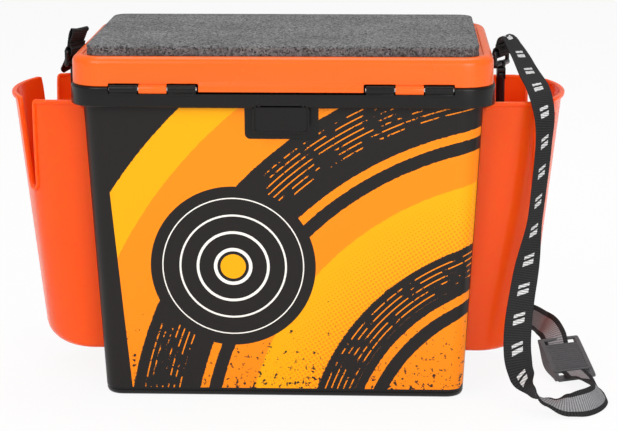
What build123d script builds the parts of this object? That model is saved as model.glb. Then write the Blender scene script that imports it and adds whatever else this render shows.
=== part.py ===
from build123d import *
import math
import os

# Ice fishing seat box: moulded tub with a rim, a seat lid that opens from either long side,
# two hung side pockets and a shoulder strap. Millimetres, +Z up, origin on the floor under
# the middle of the tub, the gripping tab on the -Y side.

# Tub
TUB_BOTTOM_X = 330.0
TUB_BOTTOM_Y = 199.0
TUB_BOTTOM_R = 16.0
TUB_TOP_X = 360.0
TUB_TOP_Y = 225.0
TUB_TOP_R = 24.0
TUB_WALL = 2.6
TUB_FLOOR = 3.0
TUB_FOOT_R = 4.0

# Rim band round the mouth of the tub
RIM_X = 380.0
RIM_Y = 245.0
RIM_R = 30.0
RIM_LOW = 274.0
RIM_TOP = 292.0
RIM_THICK = 2.5
RIM_EDGE_R = 2.0

# Gripping tab under the rim
TAB_WIDTH = 50.5
TAB_DROP = 23.4
TAB_R = 5.0

# Lid
LID_INSET = 1.7
LID_GAP = 0.3
LID_HEIGHT = 26.0
LID_WALL = 2.5
LID_EDGE_R = 7.0
LIP_HALF = 73.0
LIP_DROP = 4.6
LIP_PROUD = 2.0
LIP_THICK = 2.4

# Seat pad in its tray on the lid
PAD_X = 351.0
PAD_Y = 216.0
PAD_R = 15.0
PAD_THICK = 10.5
PAD_CROWN = 1.5
TRAY_DEPTH = 1.0
TRAY_GAP = 3.5

# Hinge rods, the lid's knuckles and the rim's clips
ROD_D = 4.0
ROD_INSET = 1.5
ROD_BELOW_RIM = 1.7
ROD_FIT = 0.05
KNUCKLE_MID = 113.5
KNUCKLE_WIDTH = 25.0
KNUCKLE_D = 8.4
CLIP_WIDTH = 25.0
CLIP_GAP = 1.0
CLIP_HALF_DEPTH = 3.4
CLIP_RISE = 2.6
CLIP_SIDE_PLAY = 0.1
SWING_CLEAR = 0.4
CHANNEL_WALL = 2.0
ROD_END = 0.5

# Front label, wrapped round the front corners
LABEL_THICK = 0.35
LABEL_WRAP = 70.0
LABEL_LOW = 8.0
LABEL_HIGH = 272.0
LABEL_R = 5.0
LABEL_WINDOW_X = 66.0
LABEL_WINDOW_LOW = 244.0

# Side pockets
POCKET_TOP = 272.0
POCKET_LOW = 37.0
POCKET_REACH_TOP = 76.0
POCKET_REACH_LOW = 63.0
POCKET_Y_TOP = 152.0
POCKET_Y_LOW = 140.0
POCKET_R = 34.0
POCKET_FACE_R = 125.0
POCKET_WALL = 2.2
POCKET_BOTTOM_R = 8.0
POCKET_GAP = 0.6
POCKET_NOTCH_HALF = 32.0
POCKET_NOTCH_LOW = 202.0
BEAD_OUT = 2.4
BEAD_TALL = 4.0
SLOT_ANGLE = 43.0
SLOT_TOP_WIDTH = 21.0
SLOT_LOW_WIDTH = 11.0
SLOT_DEPTH = 84.0
SLOT_BEAD = 3.0

# Hangers that carry a pocket
HANGER_ANGLE = 30.0
HANGER_Z = 190.0
HANGER_Y = 44.0
HANGER_WIDTH = 24.0
HANGER_THICK = 4.0
HANGER_REACH = 14.0
HANGER_ROOT = 2.4
HANGER_CLEAR = 0.4

# Strap lugs on the side walls
LUG_BAR_D = 5.0
LUG_OUT = 210.0
LUG_Z = 244.0
LUG_DROP = 20.0
LUG_LEG = 4.5

# Strap hooks
HOOK_X = 199.5
HOOK_THICK = 8.0
HOOK_ARM = 4.0
HOOK_IN_R = 4.5
HOOK_CLEAR = 0.3
HOOK_NOSE_RISE = 9.0
HOOK_SHOULDER_LOW = 38.0
HOOK_SHOULDER_TALL = 10.0
GATE_THICK_Y = 3.2
GATE_THICK_X = 4.4
GATE_BARREL_D = 4.4
GATE_PIN_D = 2.4
GATE_PIN_FIT = 0.05
GATE_GAP = 0.6
GATE_SIDE_GAP = 0.35
STUD_D = 6.0
STUD_TALL = 4.0
STUD_CLEAR = 0.1

# Swivel eyes
EYE_BASE_X = 10.0
EYE_BASE_Y = 16.0
EYE_BASE_TALL = 5.6
EYE_THICK = 4.5
EYE_SLOT_TALL = 6.0
EYE_BAR = 4.0
EYE_SIDE = 3.6
EYE_GAP = 0.5
EYE_TURN = 25.0

# Strap
STRAP_WIDTH = 25.0
STRAP_THICK = 1.8
LOOP_CLEAR = 0.3
LOOP_RISE = 6.5
STRAP_FLOOR = 0.3

# Slider buckle
SLIDER_WIDTH = 42.0
SLIDER_TALL = 50.0
SLIDER_THICK = 4.0
SLIDER_R = 6.0
SLIDER_SLOT_X = 30.0
SLIDER_SLOT_TALL = 6.5
SLIDER_TOP_BAR = 3.5
SLIDER_LOW_BAR = 5.0
SLIDER_PLACE = (265.5, -26.9)
SLIDER_YAW = 23.5
SLIDER_LEAN = 53.0

# Derived places
ROD_Y = RIM_Y / 2 - ROD_INSET
ROD_Z = RIM_TOP - ROD_BELOW_RIM
ROD_R = ROD_D / 2
KNUCKLE_R = KNUCKLE_D / 2
CHANNEL_R = KNUCKLE_R + SWING_CLEAR
CLIP_MIDS = [
    KNUCKLE_MID - KNUCKLE_WIDTH / 2 - CLIP_GAP - CLIP_WIDTH / 2,
    KNUCKLE_MID + KNUCKLE_WIDTH / 2 + CLIP_GAP + CLIP_WIDTH / 2,
]
CHANNEL_HALF = CLIP_MIDS[1] + CLIP_WIDTH / 2 + CLIP_GAP
LID_X = RIM_X - 2 * LID_INSET
LID_Y = RIM_Y - 2 * LID_INSET
LID_R = RIM_R - LID_INSET
LID_LOW = RIM_TOP + LID_GAP
LID_TOP = LID_LOW + LID_HEIGHT
TUB_RISE = RIM_LOW
LUG_R = LUG_BAR_D / 2
SLIDE_DIR = Vector(math.cos(math.radians(HANGER_ANGLE)), 0, math.sin(math.radians(HANGER_ANGLE)))
HOOK_OUT_R = HOOK_IN_R + HOOK_ARM
HOOK_Z = LUG_Z - LUG_R - HOOK_CLEAR + HOOK_IN_R
HOOK_TOP = LUG_Z + HOOK_SHOULDER_LOW + HOOK_SHOULDER_TALL
EYE_LOW = HOOK_TOP + EYE_GAP
EYE_BAR_LOW = EYE_LOW + EYE_BASE_TALL + EYE_SLOT_TALL
EYE_TOP = EYE_BAR_LOW + EYE_BAR
LOOP_TOP = EYE_TOP + LOOP_RISE
STRAP_Z = STRAP_WIDTH / 2 + STRAP_FLOOR

# Route of the strap from the right hook down in front of the right pocket to the slider
FRONT_ROUTE = [
    (199.5, 0.0, 315.0),
    (201.5, -4.0, 326.0),
    (208.5, -24.0, 325.0),
    (217.0, -52.0, 312.0),
    (225.0, -78.0, 297.0),
    (231.5, -90.0, 281.0),
    (234.6, -94.0, 260.0),
    (234.0, -95.0, 234.0),
    (231.4, -96.0, 205.0),
    (228.2, -98.0, 173.0),
    (223.4, -101.5, 141.0),
    (218.0, -106.0, 109.0),
    (213.5, -113.0, 79.0),
    (212.0, -121.0, 53.0),
    (216.0, -128.0, 33.0),
    (227.0, -134.0, 20.0),
    (242.0, -141.0, 14.0),
    (259.0, -148.5, 12.8),
    (276.0, -147.0, 12.8),
    (289.0, -135.0, 12.8),
    (294.0, -116.0, 12.8),
    (291.5, -97.0, 12.8),
    (286.5, -80.0, 12.8),
    (281.0, -66.0, 12.8),
    (276.5, -54.0, 12.8),
]

# Route of the strap from the left hook down behind the box and along the floor to the slider
REAR_ROUTE = [
    (-199.5, 0.0, 315.0),
    (-200.5, 5.0, 325.5),
    (-204.5, 24.0, 325.0),
    (-209.5, 55.0, 317.0),
    (-211.5, 85.0, 302.5),
    (-209.5, 110.0, 281.0),
    (-203.0, 130.0, 254.0),
    (-193.0, 145.0, 222.0),
    (-184.0, 157.0, 188.0),
    (-173.0, 167.0, 154.0),
    (-160.0, 175.0, 121.0),
    (-144.0, 182.0, 90.0),
    (-124.0, 188.0, 62.0),
    (-99.0, 193.0, 39.0),
    (-69.0, 196.5, 23.0),
    (-36.0, 198.5, 15.0),
    (0.0, 199.5, 12.8),
    (52.0, 199.5, 12.8),
    (100.0, 196.5, 12.8),
    (144.0, 190.0, 12.8),
    (182.0, 178.5, 12.8),
    (211.0, 161.0, 13.5),
    (231.0, 137.0, 15.5),
    (242.0, 109.0, 19.0),
    (245.5, 80.0, 24.0),
    (246.5, 51.0, 29.5),
    (248.5, 23.0, 33.0),
    (254.0, -1.0, 34.5),
]


def tub_half_x(z):
    """Half width of the tub's outside at height z, on its straight taper."""
    return (TUB_BOTTOM_X + (TUB_TOP_X - TUB_BOTTOM_X) * z / TUB_RISE) / 2


def tub_half_y(z):
    """Half depth of the tub's outside at height z, on its straight taper."""
    return (TUB_BOTTOM_Y + (TUB_TOP_Y - TUB_BOTTOM_Y) * z / TUB_RISE) / 2


def tub_corner(z):
    """Corner radius of the tub's outside at height z."""
    return TUB_BOTTOM_R + (TUB_TOP_R - TUB_BOTTOM_R) * z / TUB_RISE


def tub_loft(z_low, z_high, inset):
    """Tapered block between two heights, drawn in by inset all round."""
    sections = []
    for z in (z_low, z_high):
        outline = RectangleRounded(2 * (tub_half_x(z) - inset), 2 * (tub_half_y(z) - inset), tub_corner(z) - inset)
        sections.append(Plane.XY.offset(z) * outline)
    return loft(sections, ruled=True)


def plate(size_x, size_y, radius, z_low, z_high):
    """Upright block with rounded corners in plan, centred on the origin."""
    return extrude(Plane.XY.offset(z_low) * RectangleRounded(size_x, size_y, radius), z_high - z_low)


def bar_x(radius, half, y, z):
    """Round bar along X, centred on x = 0."""
    return Pos(0, y, z) * (Rot(0, 90, 0) * Cylinder(radius, 2 * half))


def bar_x_at(radius, length, x, y, z):
    """Round bar along X, centred on x."""
    return Pos(x, y, z) * (Rot(0, 90, 0) * Cylinder(radius, length))


def block(x0, x1, y0, y1, z0, z1):
    """Box between two corners."""
    return Pos((x0 + x1) / 2, (y0 + y1) / 2, (z0 + z1) / 2) * Box(x1 - x0, y1 - y0, z1 - z0)


def turned(part, side):
    """The right-hand piece, or the same piece half a turn round for the left."""
    return part if side > 0 else Rot(0, 0, 180) * part


def rim_outside():
    """Outside of the rim as a solid block with its upper edge rounded."""
    outer = plate(RIM_X, RIM_Y, RIM_R, RIM_LOW, RIM_TOP)
    return fillet(outer.faces().sort_by(Axis.Z)[-1].edges(), RIM_EDGE_R)


def rim_band():
    """Rim: a flange round the mouth with a skirt that hangs outside the wall."""
    inner_x = RIM_X - 2 * RIM_THICK
    inner_y = RIM_Y - 2 * RIM_THICK
    under = plate(inner_x, inner_y, RIM_R - RIM_THICK, RIM_LOW, RIM_TOP - RIM_THICK)
    return rim_outside() - under


def rod_channel(side):
    """Trough along one long edge of the rim, in which the knuckles and the lip turn."""
    trough = bar_x(CHANNEL_R + CHANNEL_WALL, CHANNEL_HALF + CHANNEL_WALL, side * ROD_Y, ROD_Z)
    return trough & rim_outside()


def rod_clip(x, side):
    """U-shaped clip, open upwards, that a hinge rod lies in."""
    low = ROD_Z - CHANNEL_R - CHANNEL_WALL / 2
    y = side * ROD_Y
    body = block(
        x - CLIP_WIDTH / 2, x + CLIP_WIDTH / 2,
        y - CLIP_HALF_DEPTH, y + CLIP_HALF_DEPTH,
        low, ROD_Z + CLIP_RISE,
    )
    seat = bar_x_at(ROD_R + ROD_FIT, CLIP_WIDTH + 2, x, y, ROD_Z)
    half_mouth = ROD_R + CLIP_SIDE_PLAY
    mouth = block(
        x - CLIP_WIDTH / 2 - 1, x + CLIP_WIDTH / 2 + 1,
        y - half_mouth, y + half_mouth,
        ROD_Z, ROD_Z + CLIP_RISE + 1,
    )
    return body - seat - mouth


def grip_tab():
    """Tab that hangs from the front of the rim's skirt."""
    y = -RIM_Y / 2
    tall = TAB_DROP + RIM_THICK
    outline = RectangleRounded(TAB_WIDTH, 2 * tall, TAB_R)
    sheet = extrude(Plane.XZ.offset(-y - RIM_THICK) * outline, RIM_THICK)
    sheet = Pos(0, 0, RIM_LOW + RIM_THICK) * sheet
    return sheet & block(-RIM_X, RIM_X, -RIM_Y, RIM_Y, 0, RIM_LOW + RIM_THICK)


def hanger(side, y, grow):
    """Tongue that leans up and out of a side wall; grow makes the matching window's shape."""
    wall_x = tub_half_x(HANGER_Z)
    along = SLIDE_DIR
    frame = Plane(origin=(wall_x, y, HANGER_Z), x_dir=(0, 1, 0), z_dir=along)
    section = Rectangle(HANGER_WIDTH + 2 * grow, HANGER_THICK + 2 * grow)
    tongue = extrude(frame.offset(-HANGER_ROOT) * section, HANGER_ROOT + HANGER_REACH)
    return turned(tongue, side)


def strap_lug(side):
    """Ear on a side wall under the rim: a round bar standing out, held by a leg at its outer end."""
    root = tub_half_x(LUG_Z) - TUB_WALL / 2
    low = LUG_Z - LUG_DROP
    bar = bar_x_at(LUG_R, LUG_OUT - root, (LUG_OUT + root) / 2, 0, LUG_Z)
    leg = block(LUG_OUT - LUG_LEG, LUG_OUT, -LUG_R, LUG_R, low, LUG_Z)
    foot = block(tub_half_x(low) - TUB_WALL / 2, LUG_OUT, -LUG_R, LUG_R, low, low + LUG_LEG)
    return turned(bar + leg + foot, side)


def make_body_shell():
    """Tub, rim, rod channels, clips, tab, hangers and strap lugs in one moulding."""
    outside = tub_loft(0, RIM_TOP, 0)
    outside = fillet(outside.faces().sort_by(Axis.Z)[0].edges(), TUB_FOOT_R)
    shell = outside + rim_band()
    for side in (-1, 1):
        shell = shell + rod_channel(side)
    shell = shell + grip_tab()
    for side in (-1, 1):
        shell = shell + strap_lug(side)
        for y in (-HANGER_Y, HANGER_Y):
            shell = shell + hanger(side, y, 0)
    shell = shell - tub_loft(TUB_FLOOR, RIM_TOP + 1, TUB_WALL)
    for side in (-1, 1):
        shell = shell - bar_x(CHANNEL_R, CHANNEL_HALF, side * ROD_Y, ROD_Z)
    for side in (-1, 1):
        for mid in CLIP_MIDS:
            for x in (-mid, mid):
                shell = shell + rod_clip(x, side)
    return shell


def label_edge_y(z):
    """Depth at height z where the label ends on the front corners."""
    radius = tub_corner(z)
    return radius - radius * math.cos(math.radians(LABEL_WRAP)) - tub_half_y(z)


def make_front_label():
    """Thin film on the front wall and round its corners, cut out round the tab."""
    film = tub_loft(LABEL_LOW, LABEL_HIGH, -LABEL_THICK) - tub_loft(LABEL_LOW, LABEL_HIGH, 0)
    side = make_face(Polyline(
        (-TUB_TOP_Y, LABEL_LOW),
        (label_edge_y(LABEL_LOW), LABEL_LOW),
        (label_edge_y(LABEL_HIGH), LABEL_HIGH),
        (-TUB_TOP_Y, LABEL_HIGH),
        close=True,
    ))
    film = film & extrude(Plane.YZ * side, TUB_TOP_X, both=True)
    tall = 2 * (LABEL_HIGH - LABEL_WINDOW_LOW)
    window = RectangleRounded(LABEL_WINDOW_X, tall, LABEL_R)
    return film - extrude(Plane.XZ * (Pos(0, LABEL_HIGH) * window), TUB_TOP_Y)


def make_lid_shell():
    """Hollow lid with a tray for the pad, knuckles for the rods and a gripping lip each side."""
    outer = plate(LID_X, LID_Y, LID_R, LID_LOW, LID_TOP)
    outer = fillet(outer.faces().sort_by(Axis.Z)[-1].edges(), LID_EDGE_R)
    inside = plate(LID_X - 2 * LID_WALL, LID_Y - 2 * LID_WALL, LID_R - LID_WALL, LID_LOW - 1, LID_TOP - LID_WALL)
    inside = fillet(inside.faces().sort_by(Axis.Z)[-1].edges(), LID_EDGE_R - LID_WALL)
    tray_x = PAD_X + 2 * TRAY_GAP
    tray_y = PAD_Y + 2 * TRAY_GAP
    tray = plate(tray_x, tray_y, PAD_R + TRAY_GAP, LID_TOP - TRAY_DEPTH, LID_TOP + 1)
    lid = outer - inside - tray
    for side in (-1, 1):
        lid = lid + lid_lip(side)
        for x in (-KNUCKLE_MID, KNUCKLE_MID):
            lid = lid + bar_x_at(KNUCKLE_R, KNUCKLE_WIDTH, x, side * ROD_Y, ROD_Z)
            lid = lid - bar_x_at(rod_bore(side), KNUCKLE_WIDTH + 2, x, side * ROD_Y, ROD_Z)
        for mid in CLIP_MIDS:
            for x in (-mid, mid):
                reach = math.hypot(CLIP_HALF_DEPTH, CLIP_RISE) + SWING_CLEAR
                lid = lid - bar_x_at(reach, CLIP_WIDTH + 2 * CLIP_GAP, x, side * ROD_Y, ROD_Z)
    return lid


def rod_bore(side):
    """Radius of the knuckle's bore: a running fit on the front rods, tight on the rear rods."""
    return ROD_R + ROD_FIT if side < 0 else ROD_R


def lid_lip(side):
    """Lip below the lid's long edge that the fingers lift it by, flared outwards."""
    low = LID_LOW - LIP_DROP
    high = LID_LOW + LIP_DROP
    out = LID_Y / 2
    profile = make_face(Polyline(
        (out - LIP_THICK, low),
        (out + LIP_PROUD, low),
        (out + LIP_PROUD, LID_LOW),
        (out, high),
        (out - LIP_THICK, high),
        close=True,
    ))
    lip = extrude(Plane.YZ * profile, LIP_HALF, both=True)
    return turned(lip, side)


def make_seat_pad():
    """Foam pad with a slight crown, lying in the lid's tray."""
    low = LID_TOP - TRAY_DEPTH
    pad = plate(PAD_X, PAD_Y, PAD_R, low, low + PAD_THICK)
    return fillet(pad.faces().sort_by(Axis.Z)[-1].edges(), PAD_CROWN)


def make_rod(x, side):
    """Steel rod through one knuckle and its two clips."""
    length = KNUCKLE_WIDTH + 2 * CLIP_GAP + 2 * CLIP_WIDTH - 2 * ROD_END
    return bar_x_at(ROD_R, length, x, side * ROD_Y, ROD_Z)


def pocket_centres(z):
    """Centres at height z: of the bulged outer face on y = 0, and of the corner round on the +Y side."""
    share = (z - POCKET_LOW) / (POCKET_TOP - POCKET_LOW)
    reach = POCKET_REACH_LOW + (POCKET_REACH_TOP - POCKET_REACH_LOW) * share
    half = (POCKET_Y_LOW + (POCKET_Y_TOP - POCKET_Y_LOW) * share) / 2
    middle = tub_half_x(z) + POCKET_GAP + reach - POCKET_FACE_R
    corner_y = half - POCKET_R
    corner_x = middle + math.sqrt((POCKET_FACE_R - POCKET_R) ** 2 - corner_y ** 2)
    return middle, corner_x, corner_y


def pocket_section(z, grow):
    """Plan outline of a right-hand pocket at height z, drawn out by grow on the three free sides."""
    middle, corner_x, corner_y = pocket_centres(z)
    back = tub_half_x(z) + POCKET_GAP
    face_r = POCKET_FACE_R + grow
    corner_r = POCKET_R + grow
    half = corner_y + corner_r
    lean = math.atan2(corner_y, corner_x - middle)
    meet_x = middle + face_r * math.cos(lean)
    meet_y = face_r * math.sin(lean)
    edges = Curve() + [
        Line((back, half), (back, -half)),
        Line((back, -half), (corner_x, -half)),
        RadiusArc((corner_x, -half), (meet_x, -meet_y), -corner_r),
        RadiusArc((meet_x, -meet_y), (meet_x, meet_y), -face_r),
        RadiusArc((meet_x, meet_y), (corner_x, half), -corner_r),
        Line((corner_x, half), (back, half)),
    ]
    return Plane.XY.offset(z) * make_face(edges)


def pocket_block(z_low, z_high, grow):
    """Tapered pocket body between two heights."""
    return loft([pocket_section(z_low, grow), pocket_section(z_high, grow)], ruled=True)


def round_bottom(part, radius):
    """Round the bottom edge of a pocket shape, apart from the edge along its back."""
    return fillet(part.faces().sort_by(Axis.Z)[0].edges().sort_by(Axis.X)[1:], radius)


def pocket_cavity():
    """Hollow of the pocket, a wall thickness inside its outside, open at the top."""
    hollow = pocket_block(POCKET_LOW + POCKET_WALL, POCKET_TOP + BEAD_TALL, -POCKET_WALL)
    hollow = round_bottom(hollow, POCKET_BOTTOM_R - POCKET_WALL)
    return hollow & (Pos(POCKET_WALL, 0, 0) * pocket_block(POCKET_LOW, POCKET_TOP + BEAD_TALL, POCKET_WALL))


def corner_slot(side_y, grow):
    """Upright slot through an outer corner of the pocket, open at the top with a round end."""
    low = POCKET_TOP - SLOT_DEPTH - grow
    half_top = SLOT_TOP_WIDTH / 2 + grow
    half_low = SLOT_LOW_WIDTH / 2 + grow
    foot = low + half_low
    edges = Curve() + [
        Line((half_top, POCKET_TOP + BEAD_TALL), (half_low, foot)),
        ThreePointArc((half_low, foot), (0, low), (-half_low, foot)),
        Line((-half_low, foot), (-half_top, POCKET_TOP + BEAD_TALL)),
        Line((-half_top, POCKET_TOP + BEAD_TALL), (half_top, POCKET_TOP + BEAD_TALL)),
    ]
    corner_x, corner_y = pocket_centres(POCKET_TOP)[1:]
    out = math.cos(math.radians(SLOT_ANGLE))
    across = side_y * math.sin(math.radians(SLOT_ANGLE))
    frame = Plane(origin=(corner_x, side_y * corner_y, 0), x_dir=(-across, out, 0), z_dir=(out, across, 0))
    return extrude(frame * make_face(edges), 2 * POCKET_R)


def pocket_mouth():
    """What is cut away above the pocket's back so that it slides out from under the rim."""
    inside = tub_half_x(RIM_LOW) - 20
    edge = RIM_X / 2 + HANGER_CLEAR
    low = POCKET_TOP - (edge - inside) * math.tan(math.radians(HANGER_ANGLE))
    profile = make_face(Polyline(
        (inside, low),
        (edge, POCKET_TOP),
        (edge, POCKET_TOP + BEAD_TALL),
        (inside, POCKET_TOP + BEAD_TALL),
        close=True,
    ))
    dip = extrude(Plane.XZ * profile, POCKET_Y_TOP, both=True)
    notch = block(
        inside - 20, tub_half_x(POCKET_TOP) + POCKET_WALL + 4,
        -POCKET_NOTCH_HALF, POCKET_NOTCH_HALF,
        POCKET_NOTCH_LOW, POCKET_TOP + BEAD_TALL,
    )
    return dip + notch


def make_pocket(side):
    """Hung pocket with a beaded rim and beaded slots in its two outer corners."""
    outside = round_bottom(pocket_block(POCKET_LOW, POCKET_TOP, 0), POCKET_BOTTOM_R)
    thick = pocket_block(POCKET_LOW, POCKET_TOP, BEAD_OUT)
    wide = 2 * RIM_X
    rim = thick & block(0, wide, -wide, wide, POCKET_TOP - BEAD_TALL, POCKET_TOP)
    pocket = outside + rim
    for side_y in (-1, 1):
        pocket = pocket + (thick & corner_slot(side_y, SLOT_BEAD))
    pocket = pocket - pocket_cavity() - pocket_mouth()
    for side_y in (-1, 1):
        pocket = pocket - corner_slot(side_y, 0)
        pocket = pocket - hanger(1, side_y * HANGER_Y, HANGER_CLEAR)
    return turned(pocket, side)


def gate_pivot():
    """Middle of the gate's pivot, in the plane of the hook."""
    return -HOOK_IN_R - HOOK_ARM / 2, LUG_Z + HOOK_SHOULDER_LOW + HOOK_SHOULDER_TALL * 0.4


def make_hook(side):
    """Hook round the lug's bar: a bend, a long back, a short nose and a forked shoulder."""
    low = LUG_Z + HOOK_SHOULDER_LOW
    ring = Circle(HOOK_OUT_R) - Circle(HOOK_IN_R)
    bend = Pos(0, HOOK_Z) * (ring & (Pos(0, -HOOK_OUT_R) * Rectangle(4 * HOOK_OUT_R, 2 * HOOK_OUT_R)))
    back = Pos(HOOK_IN_R + HOOK_ARM / 2, (HOOK_Z + HOOK_TOP) / 2) * Rectangle(HOOK_ARM, HOOK_TOP - HOOK_Z)
    nose_z = HOOK_Z + HOOK_NOSE_RISE / 2
    nose = Pos(-HOOK_IN_R - HOOK_ARM / 2, nose_z) * Rectangle(HOOK_ARM, HOOK_NOSE_RISE)
    shoulder = Pos(0, (low + HOOK_TOP) / 2) * Rectangle(2 * HOOK_OUT_R, HOOK_SHOULDER_TALL)
    outline = bend + back + nose + shoulder
    hook = extrude(Plane.YZ * outline, HOOK_THICK / 2, both=True)
    pivot_y, pivot_z = gate_pivot()
    room = GATE_BARREL_D / 2 + HOOK_CLEAR
    half = GATE_THICK_X / 2 + GATE_SIDE_GAP
    fork = block(-half, half, -HOOK_OUT_R - 1, pivot_y + room + 1.6, low - 1, pivot_z + room)
    pin_hole = bar_x(GATE_PIN_D / 2 + GATE_PIN_FIT, HOOK_THICK, pivot_y, pivot_z)
    stud = Pos(0, 0, HOOK_TOP + STUD_TALL / 2) * Cylinder(STUD_D / 2, STUD_TALL)
    return turned(Pos(HOOK_X, 0, 0) * (hook - fork - pin_hole + stud), side)


def make_gate(side):
    """Gate that closes the hook, with its barrel and trunnions."""
    pivot_y, pivot_z = gate_pivot()
    low = HOOK_Z + HOOK_NOSE_RISE + GATE_GAP
    bar = block(
        -GATE_THICK_X / 2, GATE_THICK_X / 2,
        pivot_y - GATE_THICK_Y / 2, pivot_y + GATE_THICK_Y / 2, low, pivot_z,
    )
    barrel = bar_x(GATE_BARREL_D / 2, GATE_THICK_X / 2, pivot_y, pivot_z)
    pins = bar_x(GATE_PIN_D / 2, HOOK_THICK / 2 - GATE_SIDE_GAP, pivot_y, pivot_z)
    return turned(Pos(HOOK_X, 0, 0) * (bar + barrel + pins), side)


def make_swivel(side):
    """Eye that turns on the hook's stud and carries the webbing on its top bar."""
    base = block(-EYE_BASE_X / 2, EYE_BASE_X / 2, -EYE_BASE_Y / 2, EYE_BASE_Y / 2, EYE_LOW, EYE_LOW + EYE_BASE_TALL)
    half = STRAP_WIDTH / 2 + LOOP_CLEAR * 2
    frame = block(
        -EYE_THICK / 2, EYE_THICK / 2, -half - EYE_SIDE, half + EYE_SIDE, EYE_LOW + EYE_BASE_TALL - EYE_SIDE, EYE_TOP,
    )
    slot = block(-EYE_THICK, EYE_THICK, -half, half, EYE_BAR_LOW - EYE_SLOT_TALL, EYE_BAR_LOW)
    bore = Pos(0, 0, HOOK_TOP + STUD_TALL / 2) * Cylinder(STUD_D / 2 + STUD_CLEAR, STUD_TALL + 2 * STUD_CLEAR)
    eye = frame - slot + base - bore
    return turned(Pos(HOOK_X, 0, 0) * (Rot(0, 0, -EYE_TURN) * eye), side)


def make_strap_end(side):
    """Sewn end of the webbing, folded round the eye's bar."""
    inner = EYE_THICK / 2 + LOOP_CLEAR
    outer = inner + STRAP_THICK
    low = EYE_BAR_LOW - LOOP_CLEAR - STRAP_THICK
    shoulder = EYE_TOP + LOOP_CLEAR
    neck = shoulder + (LOOP_TOP - shoulder) * 0.55
    outline = make_face(Polyline(
        (-outer, low), (outer, low), (outer, shoulder), (STRAP_THICK, neck), (STRAP_THICK, LOOP_TOP),
        (-STRAP_THICK, LOOP_TOP), (-STRAP_THICK, neck), (-outer, shoulder), close=True,
    ))
    hole = Pos(0, (EYE_BAR_LOW + EYE_TOP) / 2) * Rectangle(2 * inner, EYE_BAR + 2 * LOOP_CLEAR)
    band = extrude(Plane.XZ * (outline - hole), STRAP_WIDTH / 2, both=True)
    return turned(Pos(HOOK_X, 0, 0) * (Rot(0, 0, -EYE_TURN) * band), side)


def route_radii(points):
    """Largest arc that fits at each inner point of a route."""
    radii = []
    for before, here, after in zip(points, points[1:], points[2:]):
        first = Vector(*here) - Vector(*before)
        second = Vector(*after) - Vector(*here)
        turn = math.radians(first.get_angle(second))
        radii.append(0.45 * min(first.length, second.length) / math.tan(turn / 2))
    return radii


def make_strap(points, wide):
    """Flat webbing along a route; wide is the direction of its width where it starts."""
    radii = route_radii(points)
    path = FilletPolyline(*points, radius=radii)
    start = path @ 0
    along = path % 0
    frame = Plane(origin=start, x_dir=wide, z_dir=along)
    strap = sweep(frame * Rectangle(STRAP_WIDTH, STRAP_THICK), path=path)
    share = strap.volume / (STRAP_WIDTH * STRAP_THICK * path.length)
    print("strap length", round(path.length, 1), "least radius", round(min(radii), 1), "volume share", round(share, 4))
    return strap


def make_slider():
    """Slider: a broad plate with a slot near each end, leaning back with its low edge on the floor."""
    outline = RectangleRounded(SLIDER_WIDTH, SLIDER_TALL, SLIDER_R)
    end = SLIDER_TALL / 2 - SLIDER_SLOT_TALL / 2
    for y in (SLIDER_LOW_BAR - end, end - SLIDER_TOP_BAR):
        outline = outline - Pos(0, y) * RectangleRounded(SLIDER_SLOT_X, SLIDER_SLOT_TALL, SLIDER_SLOT_TALL / 3)
    flat = extrude(outline, SLIDER_THICK / 2, both=True)
    flat = fillet(flat.faces().sort_by(Axis.Z)[-1].outer_wire().edges(), SLIDER_THICK / 4)
    upright = Rot(90 - SLIDER_LEAN, 0, 0) * flat
    low = upright.bounding_box().min.Z
    return Pos(SLIDER_PLACE[0], SLIDER_PLACE[1], STRAP_FLOOR - low) * (Rot(0, 0, SLIDER_YAW) * upright)


def build_nodes():
    """Every piece of the box under its node's name."""
    nodes = {
        "body_shell": make_body_shell(),
        "front_label": make_front_label(),
        "lid_shell": make_lid_shell(),
        "seat_pad": make_seat_pad(),
    }
    for side, hand in ((-1, "left"), (1, "right")):
        nodes["rod_front_" + hand] = make_rod(side * KNUCKLE_MID, -1)
        nodes["rod_rear_" + hand] = make_rod(side * KNUCKLE_MID, 1)
        nodes["pocket_" + hand] = make_pocket(side)
        nodes["hook_" + hand] = make_hook(side)
        nodes["hook_gate_" + hand] = make_gate(side)
        nodes["swivel_eye_" + hand] = make_swivel(side)
        nodes["strap_end_" + hand] = make_strap_end(side)
    nodes["strap_front"] = make_strap(FRONT_ROUTE, (0.93, 0.36, 0))
    nodes["strap_rear"] = make_strap(REAR_ROUTE, (0.93, 0.36, 0))
    nodes["strap_slider"] = make_slider()
    return nodes


os.makedirs("parts", exist_ok=True)
for name, solid in build_nodes().items():
    export_step(solid, os.path.join("parts", name + ".step"))
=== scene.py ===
import math

import bmesh
import bpy
import numpy as np
from bpy.props import FloatProperty, FloatVectorProperty, PointerProperty
from mathutils import Matrix, Vector


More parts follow.
